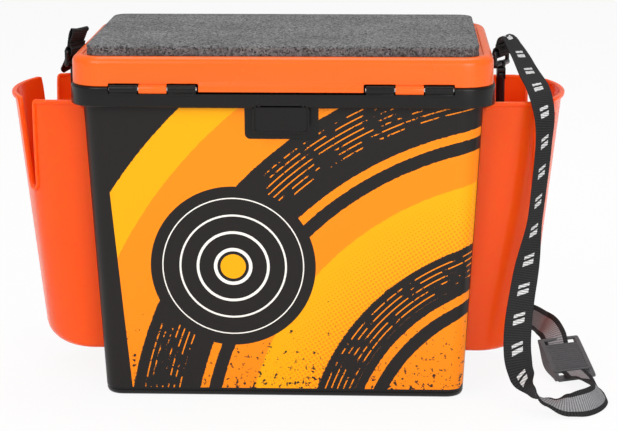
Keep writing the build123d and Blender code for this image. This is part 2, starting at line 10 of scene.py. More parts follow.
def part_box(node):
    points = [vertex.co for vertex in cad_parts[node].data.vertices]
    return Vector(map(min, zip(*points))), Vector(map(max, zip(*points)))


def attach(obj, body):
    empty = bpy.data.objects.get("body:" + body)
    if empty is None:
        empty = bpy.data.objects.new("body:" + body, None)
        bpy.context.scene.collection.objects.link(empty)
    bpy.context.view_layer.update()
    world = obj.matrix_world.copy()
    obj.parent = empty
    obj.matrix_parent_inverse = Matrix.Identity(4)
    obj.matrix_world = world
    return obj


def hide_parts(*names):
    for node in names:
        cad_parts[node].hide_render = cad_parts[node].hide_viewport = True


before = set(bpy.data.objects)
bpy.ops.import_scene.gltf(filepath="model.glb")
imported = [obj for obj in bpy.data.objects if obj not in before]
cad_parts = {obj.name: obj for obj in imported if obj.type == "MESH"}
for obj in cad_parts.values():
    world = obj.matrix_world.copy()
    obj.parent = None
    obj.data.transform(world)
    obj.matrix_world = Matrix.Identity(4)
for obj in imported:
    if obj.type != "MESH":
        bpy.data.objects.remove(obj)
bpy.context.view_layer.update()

bl_info = {
    "name": "Ice fishing box",
    "version": (1, 0, 0),
    "blender": (4, 5, 0),
    "location": "3D View > Sidebar > Fishing box",
    "description": "Dresses a seat box with its moulded tub, lid, pockets, foam seat and webbing strap",
    "category": "Object",
}

MM = 0.001
SIDES = {"left": -1, "right": 1}

# Camera of the photograph, in metres, degrees and millimetres of lens on a 36 mm sensor
CAMERA_PLACE = (0.0978, -1.9502, 0.6031)
CAMERA_YAW = 2.306
CAMERA_PITCH = 13.118
CAMERA_ROLL = -0.141
CAMERA_LENS = 122.73
CAMERA_SENSOR = 36.0

# Route of the strap from the right hook down in front of the right pocket to the slider
FRONT_ROUTE = (
    (0.1995, 0.0, 0.3145),
    (0.2005, -0.0005, 0.3215),
    (0.206, -0.003, 0.3208),
    (0.211, -0.011, 0.3145),
    (0.217, -0.027, 0.305),
    (0.2235, -0.05, 0.2935),
    (0.2305, -0.0765, 0.2835),
    (0.2352, -0.0925, 0.2605),
    (0.234, -0.095, 0.234),
    (0.2314, -0.096, 0.205),
    (0.2282, -0.098, 0.173),
    (0.2234, -0.1015, 0.141),
    (0.218, -0.106, 0.109),
    (0.2135, -0.113, 0.079),
    (0.212, -0.121, 0.053),
    (0.2155, -0.129, 0.032),
    (0.225, -0.1365, 0.0185),
    (0.2405, -0.1445, 0.0105),
    (0.2585, -0.1495, 0.01),
    (0.275, -0.144, 0.0115),
    (0.286, -0.129, 0.0115),
    (0.2895, -0.109, 0.011),
    (0.287, -0.091, 0.009),
    (0.2825, -0.075, 0.0075),
    (0.2785, -0.062, 0.007),
    (0.2745, -0.0475, 0.0065),
    (0.2715, -0.0405, 0.0085),
    (0.2682, -0.033, 0.0085),
)

# Which way the webbing's width points at some of the route's points
FRONT_ACROSS = (
    (0, (0.42, 0.91, 0.0)),
    (2, (0.42, 0.91, 0.0)),
    (4, (0.55, 0.83, 0.0)),
    (6, (0.82, 0.55, 0.0)),
    (8, (0.62, 0.78, 0.0)),
    (10, (0.58, 0.81, 0.0)),
    (12, (0.95, 0.3, 0.0)),
    (14, (1.0, 0.0, 0.0)),
    (15, (0.9, -0.4, 0.2)),
    (16, (0.3, -0.88, 0.42)),
    (17, (-0.42, -0.9, 0.06)),
    (18, (-0.05, -0.8, -0.6)),
    (19, (0.1, -0.5, -0.85)),
    (21, (0.6, -0.1, -0.75)),
    (23, (0.85, 0.1, -0.5)),
    (25, (0.917, 0.399, 0.0)),
    (27, (0.917, 0.399, 0.0)),
)

# Route of the strap from the left hook down behind the box and along the floor to the slider
REAR_ROUTE = (
    (-0.1985, 0.0, 0.314),
    (-0.193, -0.001, 0.3265),
    (-0.1975, 0.002, 0.3265),
    (-0.2005, 0.004, 0.317),
    (-0.2045, 0.008, 0.305),
    (-0.2075, 0.017, 0.2945),
    (-0.2075, 0.033, 0.287),
    (-0.2065, 0.052, 0.283),
    (-0.2055, 0.073, 0.279),
    (-0.204, 0.094, 0.2705),
    (-0.201, 0.113, 0.254),
    (-0.196, 0.13, 0.231),
    (-0.189, 0.1435, 0.203),
    (-0.18, 0.1555, 0.174),
    (-0.169, 0.166, 0.145),
    (-0.157, 0.175, 0.117),
    (-0.144, 0.182, 0.09),
    (-0.124, 0.188, 0.062),
    (-0.099, 0.193, 0.039),
    (-0.069, 0.1965, 0.023),
    (-0.036, 0.1985, 0.015),
    (0.0, 0.1995, 0.0128),
    (0.052, 0.1995, 0.0128),
    (0.1, 0.1965, 0.0128),
    (0.144, 0.19, 0.0128),
    (0.182, 0.1785, 0.0128),
    (0.211, 0.161, 0.0135),
    (0.231, 0.137, 0.0155),
    (0.242, 0.109, 0.019),
    (0.2455, 0.08, 0.024),
    (0.2465, 0.051, 0.0295),
    (0.2465, 0.023, 0.0365),
    (0.2495, 0.004, 0.039),
    (0.2535, -0.0085, 0.035),
    (0.256, -0.0145, 0.0275),
    (0.2575, -0.0185, 0.0205),
)

REAR_ACROSS = (
    (0, (-0.42, -0.91, 0.0)),
    (2, (-0.42, -0.91, 0.0)),
    (4, (-0.18, -0.98, 0.0)),
    (6, (-0.8, -0.3, -0.5)),
    (8, (-1.0, 0.0, 0.0)),
    (12, (-0.9, 0.0, -0.4)),
    (16, (-0.7, 0.0, -0.7)),
    (19, (-0.2, 0.0, -0.95)),
    (21, (0.0, 0.0, -1.0)),
    (25, (0.0, 0.0, -1.0)),
    (28, (-0.2, 0.0, -0.98)),
    (31, (-0.4, -0.1, -0.9)),
    (33, (-0.82, -0.34, -0.4)),
    (35, (-0.917, -0.399, 0.0)),
)

# Middle of the slider, and how it is turned about Z and leans back from upright, in degrees
SLIDER_PLACE = (0.2655, -0.0269, 0.0169)
SLIDER_YAW = 23.5
SLIDER_LEAN = 53.0


def linear(code):
    """Linear red, green and blue of an sRGB hex code."""
    values = np.array([int(code[place:place + 2], 16) for place in (0, 2, 4)]) / 255
    return tuple(np.where(values <= 0.04045, values / 12.92, ((values + 0.055) / 1.055) ** 2.4))


def length(name, description, default):
    """Property for one size in metres."""
    return FloatProperty(
        name=name, description=description, default=default, min=0.0, precision=4, unit="LENGTH",
    )


def colour(name, description, code):
    """Property for one colour, given as an sRGB hex code."""
    return FloatVectorProperty(
        name=name, description=description, default=linear(code), min=0.0, max=1.0, size=3, subtype="COLOR",
    )


class TubSizes(bpy.types.PropertyGroup):
    """Sizes of the tub and its rim."""

    foot_length: length("Foot length", "Length of the tub at the floor", 0.330)
    foot_depth: length("Foot depth", "Depth of the tub at the floor", 0.199)
    foot_corner: length("Foot corner", "Corner radius in plan at the floor", 0.016)
    mouth_length: length("Mouth length", "Length of the tub under the rim", 0.360)
    mouth_depth: length("Mouth depth", "Depth of the tub under the rim", 0.225)
    mouth_corner: length("Mouth corner", "Corner radius in plan under the rim", 0.024)
    wall: length("Wall", "Thickness of the tub's wall", 0.0026)
    floor: length("Floor", "Thickness of the tub's floor", 0.003)
    foot_radius: length("Foot radius", "Rounding of the edge that stands on the floor", 0.004)
    rim_length: length("Rim length", "Length of the rim band", 0.380)
    rim_depth: length("Rim depth", "Depth of the rim band", 0.245)
    rim_corner: length("Rim corner", "Corner radius of the rim band in plan", 0.030)
    rim_low: length("Rim low", "Height of the rim's lower edge", 0.274)
    rim_top: length("Rim top", "Height of the rim's upper face", 0.292)
    rim_thick: length("Rim thickness", "Thickness of the rim's skirt", 0.0025)
    rim_edge: length("Rim edge", "Rounding of the rim's upper edge", 0.002)
    tab_width: length("Tab width", "Width of the gripping tab", 0.0505)
    tab_low: length("Tab low", "Height of the tab's lower edge", 0.2506)


class LidSizes(bpy.types.PropertyGroup):
    """Sizes of the lid, its seat pad and its hinge rods."""

    length: length("Length", "Length of the lid", 0.3766)
    depth: length("Depth", "Depth of the lid", 0.2416)
    corner: length("Corner", "Corner radius of the lid in plan", 0.0283)
    low: length("Low", "Height of the lid's lower edge", 0.2923)
    top: length("Top", "Height of the lid's upper face", 0.3183)
    wall: length("Wall", "Thickness of the lid's wall", 0.0025)
    edge: length("Edge", "Rounding of the lid's upper edge", 0.007)
    lip_half: length("Lip", "Half length of the gripping lip", 0.073)
    lip_low: length("Lip low", "Height of the lip's lower edge", 0.2877)
    lip_proud: length("Lip reach", "How far the lip stands out of the wall", 0.002)
    pad_length: length("Pad length", "Length of the foam seat", 0.351)
    pad_depth: length("Pad depth", "Depth of the foam seat", 0.216)
    pad_corner: length("Pad corner", "Corner radius of the foam seat", 0.015)
    pad_top: length("Pad top", "Height of the foam seat's middle", 0.3278)
    tray_depth: length("Tray depth", "How deep the seat's tray is", 0.001)
    tray_gap: length("Tray gap", "Gap round the seat in its tray", 0.0035)
    rod_offset: length("Rod place", "Distance of the rods from the box's middle", 0.121)
    rod_height: length("Rod height", "Height of the rods' axes", 0.2903)
    rod_radius: length("Rod radius", "Radius of a hinge rod", 0.002)
    knuckle_middle: length("Knuckle place", "Distance of a knuckle's middle from the box's middle", 0.1135)
    knuckle_width: length("Knuckle width", "Width of a knuckle or a clip", 0.025)
    knuckle_radius: length("Knuckle radius", "Radius of a knuckle", 0.0042)
    clip_gap: length("Clip gap", "Gap between a knuckle and a clip", 0.001)


class PocketSizes(bpy.types.PropertyGroup):
    """Sizes of the pockets hung on the ends of the tub."""

    low: length("Low", "Height of the pocket's bottom", 0.0355)
    top: length("Top", "Height of the pocket's rim", 0.272)
    reach_low: length("Reach low", "How far the pocket's bottom stands out", 0.063)
    reach_top: length("Reach top", "How far the pocket's rim stands out", 0.076)
    half_low: length("Half depth low", "Half depth of the pocket's bottom", 0.070)
    half_top: length("Half depth top", "Half depth of the pocket's rim", 0.076)
    corner: length("Corner", "Radius of the pocket's outer corners", 0.034)
    corner_low: length("Corner low", "Radius of the pocket's outer corners at its bottom", 0.05)
    face: length("Face", "Radius of the pocket's bulged outer face", 0.125)
    wall: length("Wall", "Thickness of the pocket's wall", 0.0022)
    bottom_radius: length("Bottom radius", "Rounding of the pocket's bottom edge along its sides", 0.005)
    bottom_outer: length("Bottom outer", "Rounding of the pocket's bottom edge on its outer face", 0.016)
    gap: length("Gap", "Gap between the pocket and the tub", 0.0006)
    bead: length("Bead", "How far the rolled lip stands out of the wall", 0.0024)
    bead_tall: length("Bead height", "Height of the rolled lip", 0.0044)
    slot_top_half: length("Slot top", "Half width of a corner slot at the rim", 0.0105)
    slot_low_half: length("Slot low", "Half width of a corner slot at its round end", 0.0055)
    slot_end: length("Slot end", "Height of a corner slot's round end", 0.188)
    slot_ease: length("Slot ease", "Rounding where a slot meets the rim", 0.003)
    slot_angle: FloatProperty(
        name="Slot angle", description="Direction that a slot faces, from the long axis",
        default=math.radians(43), unit="ROTATION",
    )
    notch_half: length("Notch", "Half width of the notch in the pocket's back", 0.032)
    notch_low: length("Notch low", "Height of the notch in the pocket's back", 0.202)


class StrapSizes(bpy.types.PropertyGroup):
    """Sizes of the webbing."""

    width: length("Width", "Width of the webbing", 0.025)
    thick: length("Thickness", "Thickness of the webbing", 0.0018)
    rib: length("Rib", "Spacing of the weft ribs, drawn coarser than life so that they show", 0.0022)


class Finishes(bpy.types.PropertyGroup):
    """Colours of the box's materials."""

    tub: colour("Tub", "Black polypropylene of the tub", "100E0D")
    lid: colour("Lid", "Orange polypropylene of the lid", "FF6618")
    pocket: colour("Pocket", "Orange-red polypropylene of the pockets", "FF5A12")
    # Painted glow: the colour that the pockets emit, standing in for light that shows through their thin
    # walls
    wall_light: colour("Wall light", "Light that shows through a thin plastic wall", "FF2710")
    foam_dark: colour("Foam pores", "Open pores of the seat foam", "323233")
    foam_light: colour("Foam skin", "Cell walls of the seat foam", "9A9A9B")
    print_ground: colour("Print ground", "Charcoal ground of the label", "211E1D")
    print_orange: colour("Print orange", "Orange ink of the label", "FF8C0F")
    print_amber: colour("Print amber", "Amber ink of the label", "FFAC00")
    print_white: colour("Print white", "White ink of the label", "F4F1EA")
    webbing: colour("Webbing", "Black polyester of the strap", "262627")
    webbing_back: colour("Webbing back", "Grey threads on the strap's reverse", "858587")
    webbing_bar: colour("Webbing bars", "Light bars woven into the strap's face", "C4C4C4")
    acetal: colour("Acetal", "Black acetal of the hooks", "1B1B1C")
    slider: colour("Slider", "Dark grey nylon of the slider", "525254")
    steel: colour("Steel", "Bright steel of the hinge rods", "D9D9DC")
    floor: colour("Floor", "Pale floor", "F7F7F6")


# Kinds of shader node that come up often
MATHS = "ShaderNodeMath"
VECTORS = "ShaderNodeVectorMath"
NOISE = "ShaderNodeTexNoise"
SPAN = "ShaderNodeMapRange"
MIX = "ShaderNodeMix"
BUMP = "ShaderNodeBump"

PLASTIC_IOR = 1.49


def add_node(tree, kind, inputs=None, **settings):
    """Node of a kind with its settings. An input is a value, a socket, or a node, whose first live output
    feeds it. Of the numbered inputs, 1 to 4 of a span are the range read and the range given, and 0, 6 and 7
    of a mix are the share and the two colours."""
    node = tree.nodes.new(kind)
    for name, value in settings.items():
        setattr(node, name, value)
    for socket, value in (inputs or {}).items():
        if isinstance(value, bpy.types.Node):
            value = next(output for output in value.outputs if output.enabled)
        if isinstance(value, bpy.types.NodeSocket):
            tree.links.new(value, node.inputs[socket])
        else:
            node.inputs[socket].default_value = value
    return node


def new_material(name):
    """Empty node material and its tree."""
    material = bpy.data.materials.new(name)
    material.use_nodes = True
    material.node_tree.nodes.clear()
    return material, material.node_tree


def finished(material, inputs):
    """The material, with a principled shader of the given inputs on its surface."""
    shader = add_node(material.node_tree, "ShaderNodeBsdfPrincipled", inputs)
    add_node(material.node_tree, "ShaderNodeOutputMaterial", {"Surface": shader})
    return material


def finish_of(make):
    """The material that a function makes, made once."""
    return bpy.data.materials.get(make.__name__) or make()


def finishes():
    """Colours of the box's materials."""
    return bpy.context.scene.box_finishes


def rgba(rgb, factor=1.0):
    """Colour of four values, with its brightness multiplied by a factor."""
    return tuple(min(1.0, value * factor) for value in rgb) + (1.0,)


def moulded_plastic(name, rgb, roughness, sheen, cloud_mm, grain_mm, grain_depth_mm, glow=0.0, painted_glow_strength=0.0):
    """Injection-moulded plastic: even colour with faint flow clouds and a fine mould grain, drawn coarser
    than life so that it shows. Glow is the share of the light that spreads inside the wall, and lit is how
    strongly light from behind shows through it."""
    material, tree = new_material(name)
    place = add_node(tree, "ShaderNodeTexCoord").outputs["Object"]
    cloud = add_node(tree, NOISE, {"Vector": place, "Scale": 1 / (cloud_mm * MM), "Detail": 3.0})
    grain = add_node(tree, NOISE, {"Vector": place, "Scale": 1 / (grain_mm * MM), "Detail": 2.0})
    tint = add_node(tree, MIX, {0: cloud, 6: rgba(rgb, 0.94), 7: rgba(rgb, 1.05)}, data_type="RGBA")
    shine = add_node(tree, SPAN, {"Value": cloud, 1: 0.1, 2: 0.9, 3: roughness - 0.05, 4: roughness + 0.05})
    relief = add_node(tree, BUMP, {"Height": grain, "Strength": 0.4, "Distance": grain_depth_mm * MM})
    return finished(material, {
        "Base Color": tint,
        "Roughness": shine,
        "Specular IOR Level": sheen,
        "Normal": relief,
        "IOR": PLASTIC_IOR,
        "Subsurface Weight": glow,
        "Subsurface Radius": (1.0, 0.22, 0.1),
        "Subsurface Scale": 7 * MM,
        # Painted glow: emitted light that stands in for light showing through the wall
        "Emission Color": rgba(finishes().wall_light),
        "Emission Strength": painted_glow_strength,
    })


def tub_polypropylene():
    """Black polypropylene from a satin mould: soft broad highlights."""
    return moulded_plastic(
        "tub_polypropylene", finishes().tub, roughness=0.27, sheen=0.3,
        cloud_mm=60, grain_mm=0.9, grain_depth_mm=0.05,
    )


def lid_polypropylene():
    """Orange polypropylene from a smooth mould: warm and slightly glossy."""
    return moulded_plastic(
        "lid_polypropylene", finishes().lid, roughness=0.28, sheen=0.34,
        cloud_mm=70, grain_mm=1.2, grain_depth_mm=0.04,
    )


def pocket_polypropylene():
    """Thin orange-red polypropylene: glossy, with a little light passing through it."""
    return moulded_plastic(
        "pocket_polypropylene", finishes().pocket, roughness=0.24, sheen=0.25,
        cloud_mm=80, grain_mm=1.5, grain_depth_mm=0.03, glow=0.75, painted_glow_strength=0.09,
    )


def hook_acetal():
    """Black acetal straight from a polished mould: sharp small highlights."""
    return moulded_plastic(
        "hook_acetal", finishes().acetal, roughness=0.2, sheen=0.4,
        cloud_mm=15, grain_mm=0.8, grain_depth_mm=0.02,
    )


def slider_nylon():
    """Dark grey glass-filled nylon: dull, with a visible grit."""
    return moulded_plastic(
        "slider_nylon", finishes().slider, roughness=0.45, sheen=0.35,
        cloud_mm=12, grain_mm=0.7, grain_depth_mm=0.08,
    )


def rod_steel():
    """Drawn bright steel: fine lines along the rod and a clear mirror shine. The lines are drawn coarser than
    life so that they show."""
    line_mm, stretch = 0.4, 20
    material, tree = new_material("rod_steel")
    place = add_node(tree, "ShaderNodeTexCoord").outputs["Object"]
    stretched = add_node(tree, "ShaderNodeMapping", {"Vector": place, "Scale": (1 / stretch, 1.0, 1.0)})
    lines = add_node(tree, NOISE, {"Vector": stretched, "Scale": 1 / (line_mm * MM), "Detail": 2.0})
    shine = add_node(tree, SPAN, {"Value": lines, 1: 0.3, 2: 0.7, 3: 0.16, 4: 0.32})
    return finished(material, {"Base Color": rgba(finishes().steel), "Metallic": 1.0, "Roughness": shine})


def seat_foam():
    """Closed-cell polyethylene foam, cut with a blade: each cell has its own grey, open pores are dark, and
    the cut edge is darker. Cells are drawn larger than life so that they show."""
    cell_mm, speck_mm, cloud_mm, pit_mm = 1.4, 0.9, 45, 0.6
    pore, skin = rgba(finishes().foam_dark), rgba(finishes().foam_light)
    material, tree = new_material("seat_foam")
    place = add_node(tree, "ShaderNodeTexCoord").outputs["Object"]
    edge = add_node(tree, "ShaderNodeAttribute", attribute_name="cut_edge").outputs["Fac"]
    cells = add_node(tree, "ShaderNodeTexVoronoi", {"Vector": place, "Scale": 1 / (cell_mm * MM)})
    tone = add_node(tree, "ShaderNodeRGBToBW", {"Color": cells.outputs["Color"]})
    specks = add_node(
        tree, NOISE, {"Vector": place, "Scale": 1 / (speck_mm * MM), "Detail": 3.0, "Roughness": 0.7},
    )
    mixed = add_node(tree, MATHS, {0: specks, 1: 0.9, 2: tone}, operation="MULTIPLY_ADD")
    spread = add_node(tree, SPAN, {"Value": mixed, 1: 0.5, 2: 1.3, 3: 0.0, 4: 1.0})
    cloud = add_node(tree, NOISE, {"Vector": place, "Scale": 1 / (cloud_mm * MM), "Detail": 2.0})
    # Painted shade: the cut sides darker than the top, with the cloud's random tone
    painted_side_shade_and_cloud = add_node(tree, MATHS, {0: edge, 1: 0.5, 2: cloud}, operation="MULTIPLY_ADD")
    shade = add_node(tree, SPAN, {"Value": painted_side_shade_and_cloud, 1: 0.1, 2: 1.2, 3: 1.1, 4: 0.5})
    walls = add_node(tree, MIX, {0: spread, 6: pore, 7: skin}, data_type="RGBA")
    toned = add_node(tree, VECTORS, {0: walls, "Scale": shade}, operation="SCALE")
    relief = add_node(tree, BUMP, {"Height": spread, "Strength": 0.8, "Distance": pit_mm * MM})
    return finished(material, {
        "Base Color": toned, "Roughness": 0.9, "Specular IOR Level": 0.15, "Normal": relief,
    })


def woven_bars(tree, along, across, side):
    """Share of light thread on the webbing's face: a narrow and a broad slanted bar in each repeat."""
    repeat, half_width, slant = 27 * MM, 5 * MM, 0.45
    narrow, broad = (7.5 * MM, 1.5 * MM), (13.5 * MM, 2.2 * MM)
    slanted = add_node(tree, MATHS, {0: across, 1: slant, 2: along}, operation="MULTIPLY_ADD")
    spot = add_node(tree, MATHS, {0: slanted, 1: repeat}, operation="FLOORED_MODULO")
    first, second = (
        add_node(tree, MATHS, {0: spot, 1: middle, 2: half}, operation="COMPARE")
        for middle, half in (narrow, broad)
    )
    bars = add_node(tree, MATHS, {0: first, 1: second}, operation="MAXIMUM")
    off_middle = add_node(tree, MATHS, {0: across}, operation="ABSOLUTE")
    within = add_node(tree, MATHS, {0: off_middle, 1: half_width}, operation="LESS_THAN")
    on_face = add_node(tree, MATHS, {0: side, 1: 0.5}, operation="GREATER_THAN")
    for limit in (within, on_face):
        bars = add_node(tree, MATHS, {0: bars, 1: limit}, operation="MULTIPLY")
    return bars


def grey_reverse(tree, across, side):
    """Share of grey thread: a band along the middle of the webbing's reverse."""
    half_width = 7.6 * MM
    off_middle = add_node(tree, MATHS, {0: across}, operation="ABSOLUTE")
    within = add_node(tree, MATHS, {0: off_middle, 1: half_width}, operation="LESS_THAN")
    behind = add_node(tree, MATHS, {0: side, 1: -0.5}, operation="LESS_THAN")
    return add_node(tree, MATHS, {0: within, 1: behind}, operation="MULTIPLY")


def strap_polyester():
    """Woven polyester webbing: dull black ribs with pairs of light slanted bars woven in, and on the reverse
    a grey band between black edges. The weave attribute holds the way along, the way across and the side,
    which is 1 on the face, -1 on the reverse and 0 where the webbing is plain. Threads are drawn coarser than
    life so that they show."""
    thread_mm, thread_depth_mm = 0.8, 0.2
    material, tree = new_material("strap_polyester")
    place = add_node(tree, "ShaderNodeTexCoord").outputs["Object"]
    weave = add_node(tree, "ShaderNodeAttribute", attribute_name="weave").outputs["Vector"]
    along, across, side = add_node(tree, "ShaderNodeSeparateXYZ", {"Vector": weave}).outputs
    woven = rgba(finishes().webbing)
    layers = (
        (grey_reverse(tree, across, side), finishes().webbing_back),
        (woven_bars(tree, along, across, side), finishes().webbing_bar),
    )
    for share, thread in layers:
        woven = add_node(tree, MIX, {0: share, 6: woven, 7: rgba(thread)}, data_type="RGBA")
    threads = add_node(
        tree, NOISE, {"Vector": place, "Scale": 1 / (thread_mm * MM), "Detail": 2.0, "Roughness": 0.6},
    )
    turns = 2 * math.pi / bpy.context.scene.box_strap.rib
    phase = add_node(tree, MATHS, {0: along, 1: turns}, operation="MULTIPLY")
    # Painted shade: the colour darkens in the grooves between the weft ribs
    painted_groove_shade = add_node(tree, MATHS, {0: phase}, operation="COSINE")
    rough = add_node(tree, SPAN, {"Value": threads, 1: 0.2, 2: 0.8, 3: 0.6, 4: 1.35})
    lift = add_node(tree, MATHS, {0: painted_groove_shade, 1: -0.4, 2: rough}, operation="MULTIPLY_ADD")
    toned = add_node(tree, VECTORS, {0: woven, "Scale": lift}, operation="SCALE")
    relief = add_node(tree, BUMP, {"Height": threads, "Strength": 0.5, "Distance": thread_depth_mm * MM})
    return finished(material, {
        "Base Color": toned, "Roughness": 0.75, "Specular IOR Level": 0.2, "Normal": relief,
    })


# Print of the label, in metres: the middle of its curved bands, where each band starts and its ink, which
# band is dotted, and the middle and half width of what is lined
BAND_MIDDLE = (0.235, 0.0, -0.06)
BAND_REACH = 0.5
BANDS = (
    (0.0, "ground"), (0.1, "orange"), (0.155, "ground"), (0.1675, "orange"), (0.175, "ground"),
    (0.215, "amber"), (0.27, "orange"), (0.3, "ground"), (0.3125, "orange"), (0.32, "ground"),
    (0.38, "orange"), (0.43, "amber"), (0.465, "ground"),
)
DOTTED_BAND = (0.215, 0.27)
LINED_BANDS = ((0.196, 0.0135), (0.352, 0.0185))
RIPPLE_MIDDLE = (-0.045, 0.0, 0.125)


def curved_bands(tree, reach, brush, inks):
    """Bands of ink round their middle, their edges roughened by the brush."""
    stroke = 2.4 * MM
    brushed = add_node(tree, MATHS, {0: brush, 1: stroke, 2: reach}, operation="MULTIPLY_ADD")
    share = add_node(tree, MATHS, {0: brushed, 1: BAND_REACH}, operation="DIVIDE")
    bands = add_node(tree, "ShaderNodeValToRGB", {"Fac": share})
    ramp = bands.color_ramp
    ramp.interpolation = "CONSTANT"
    for start, _ in BANDS[1:-1]:
        ramp.elements.new(start / BAND_REACH)
    for element, (start, ink) in zip(ramp.elements, BANDS):
        element.position = start / BAND_REACH
        element.color = inks[ink]
    return bands


def halftone_dots(tree, flat, reach):
    """Dots on a turned grid, which shrink outwards across the dotted band."""
    pitch, turn, largest, smallest = 3.4 * MM, math.radians(32), 0.42, 0.05
    near, far = DOTTED_BAND
    scale = (1 / pitch,) * 3
    grid = add_node(tree, "ShaderNodeMapping", {"Vector": flat, "Rotation": (0.0, turn, 0.0), "Scale": scale})
    cell = add_node(tree, VECTORS, {0: grid}, operation="FRACTION")
    off_middle = add_node(tree, VECTORS, {0: cell, 1: (0.5, 0.0, 0.5)}, operation="DISTANCE")
    size = add_node(tree, SPAN, {"Value": reach, 1: near, 2: far, 3: largest, 4: smallest})
    dot = add_node(tree, MATHS, {0: off_middle, 1: size}, operation="LESS_THAN")
    in_band = add_node(tree, MATHS, {0: reach, 1: (near + far) / 2, 2: (far - near) / 2}, operation="COMPARE")
    return add_node(tree, MATHS, {0: dot, 1: in_band}, operation="MULTIPLY")


def worn_lines(tree, flat, reach):
    """Fine lines along the lined bands, with worn gaps."""
    spacing, half_line, wear_mm, worn = 2.6 * MM, 0.55 * MM, 24, 0.49
    wave = add_node(tree, MATHS, {0: reach, 1: spacing}, operation="PINGPONG")
    fine = add_node(tree, MATHS, {0: wave, 1: half_line}, operation="LESS_THAN")
    inner, outer = (
        add_node(tree, MATHS, {0: reach, 1: middle, 2: half}, operation="COMPARE")
        for middle, half in LINED_BANDS
    )
    lined = add_node(tree, MATHS, {0: inner, 1: outer}, operation="ADD")
    wear = add_node(
        tree, NOISE, {"Vector": flat, "Scale": 1 / (wear_mm * MM), "Detail": 6.0, "Roughness": 0.7},
    )
    kept = add_node(tree, MATHS, {0: wear, 1: worn}, operation="GREATER_THAN")
    for limit in (fine, kept):
        lined = add_node(tree, MATHS, {0: lined, 1: limit}, operation="MULTIPLY")
    return lined


def low_specks(tree, place, brush):
    """Specks of the brush that thin out from the foot of the label upwards."""
    height = add_node(tree, "ShaderNodeSeparateXYZ", {"Vector": place}).outputs["Z"]
    limit = add_node(tree, SPAN, {"Value": height, 1: 0.0, 2: 0.13, 3: 0.55, 4: 0.72})
    return add_node(tree, MATHS, {0: brush, 1: limit}, operation="GREATER_THAN")


def ripple_rings(tree, flat):
    """Pool of ripples: its disc, the rings in it, which thin out outwards, and the float in its middle."""
    pool, middle, spacing, inner_line, outer_line = 75 * MM, 11.5 * MM, 8 * MM, 1.7 * MM, 0.3 * MM
    reach = add_node(tree, VECTORS, {0: flat, 1: RIPPLE_MIDDLE}, operation="DISTANCE")
    wave = add_node(tree, MATHS, {0: reach, 1: spacing}, operation="PINGPONG")
    line = add_node(tree, SPAN, {"Value": reach, 1: 10 * MM, 2: pool, 3: inner_line, 4: outer_line})
    thin = add_node(tree, MATHS, {0: wave, 1: line}, operation="LESS_THAN")
    disc, spot = (
        add_node(tree, MATHS, {0: reach, 1: radius}, operation="LESS_THAN") for radius in (pool, middle)
    )
    return disc, add_node(tree, MATHS, {0: thin, 1: disc}, operation="MULTIPLY"), spot


def label_film():
    """In-mould label: satin film printed with brushed curved bands, halftone dots, fine lines and ripple
    rings. The dots and fine lines are drawn a little coarser than a press prints them, so that they show."""
    brush_mm, cloud_mm, margin, margin_lean = 5, 30, -0.139, 0.085
    inks = {ink: rgba(getattr(finishes(), "print_" + ink)) for ink in ("ground", "orange", "amber", "white")}
    material, tree = new_material("label_film")
    place = add_node(tree, "ShaderNodeTexCoord").outputs["Object"]
    flat = add_node(tree, VECTORS, {0: place, 1: (1.0, 0.0, 1.0)}, operation="MULTIPLY")
    reach = add_node(tree, VECTORS, {0: flat, 1: BAND_MIDDLE}, operation="DISTANCE")
    brush = add_node(
        tree, NOISE, {"Vector": flat, "Scale": 1 / (brush_mm * MM), "Detail": 5.0, "Roughness": 0.65},
    )
    across = add_node(tree, VECTORS, {0: flat, 1: (1.0, 0.0, margin_lean)}, operation="DOT_PRODUCT")
    disc, rings, spot = ripple_rings(tree, flat)
    layers = (
        (halftone_dots(tree, flat, reach), "orange"),
        (worn_lines(tree, flat, reach), "orange"),
        (low_specks(tree, place, brush), "ground"),
        (disc, "ground"),
        (rings, "white"),
        (spot, "amber"),
        (add_node(tree, MATHS, {0: across, 1: margin}, operation="LESS_THAN"), "ground"),
    )
    printed = curved_bands(tree, reach, brush, inks)
    for share, ink in layers:
        printed = add_node(tree, MIX, {0: share, 6: printed, 7: inks[ink]}, data_type="RGBA")
    cloud = add_node(tree, NOISE, {"Vector": place, "Scale": 1 / (cloud_mm * MM), "Detail": 3.0})
    shine = add_node(tree, SPAN, {"Value": cloud, 1: 0.1, 2: 0.9, 3: 0.3, 4: 0.4})
    return finished(material, {
        "Base Color": printed, "Roughness": shine, "Specular IOR Level": 0.2, "IOR": PLASTIC_IOR,
    })


def arc(steps, first=0.0, last=90.0):
    """Angles in radians from first to last degrees, both included."""
    return np.radians(np.linspace(first, last, steps + 1))


def unit(vectors):
    """Vectors made one long."""
    return vectors / np.linalg.norm(vectors, axis=1, keepdims=True)


def heading(line):
    """Direction of a line at each of its points."""
    return unit(np.gradient(line, axis=0))


def square_to(along, vectors):
    """Vectors without their share along the given directions, made one long."""
    return unit(vectors - along * np.sum(vectors * along, axis=1, keepdims=True))


def way_along(line):
    """Distance of each point of a line from its start."""
    return np.concatenate([[0], np.cumsum(np.linalg.norm(np.diff(line, axis=0), axis=1))])


def spread_evenly(values, far, count):
    """Values known at some distances, read at even distances, and these distances."""
    even = np.linspace(0, far[-1], count)
    return np.column_stack([np.interp(even, far, column) for column in values.T]), even


def eased(share):
    """Share from 0 to 1 that starts and ends gently, s² (3 - 2 s)."""
    return share * share * (3 - 2 * share)


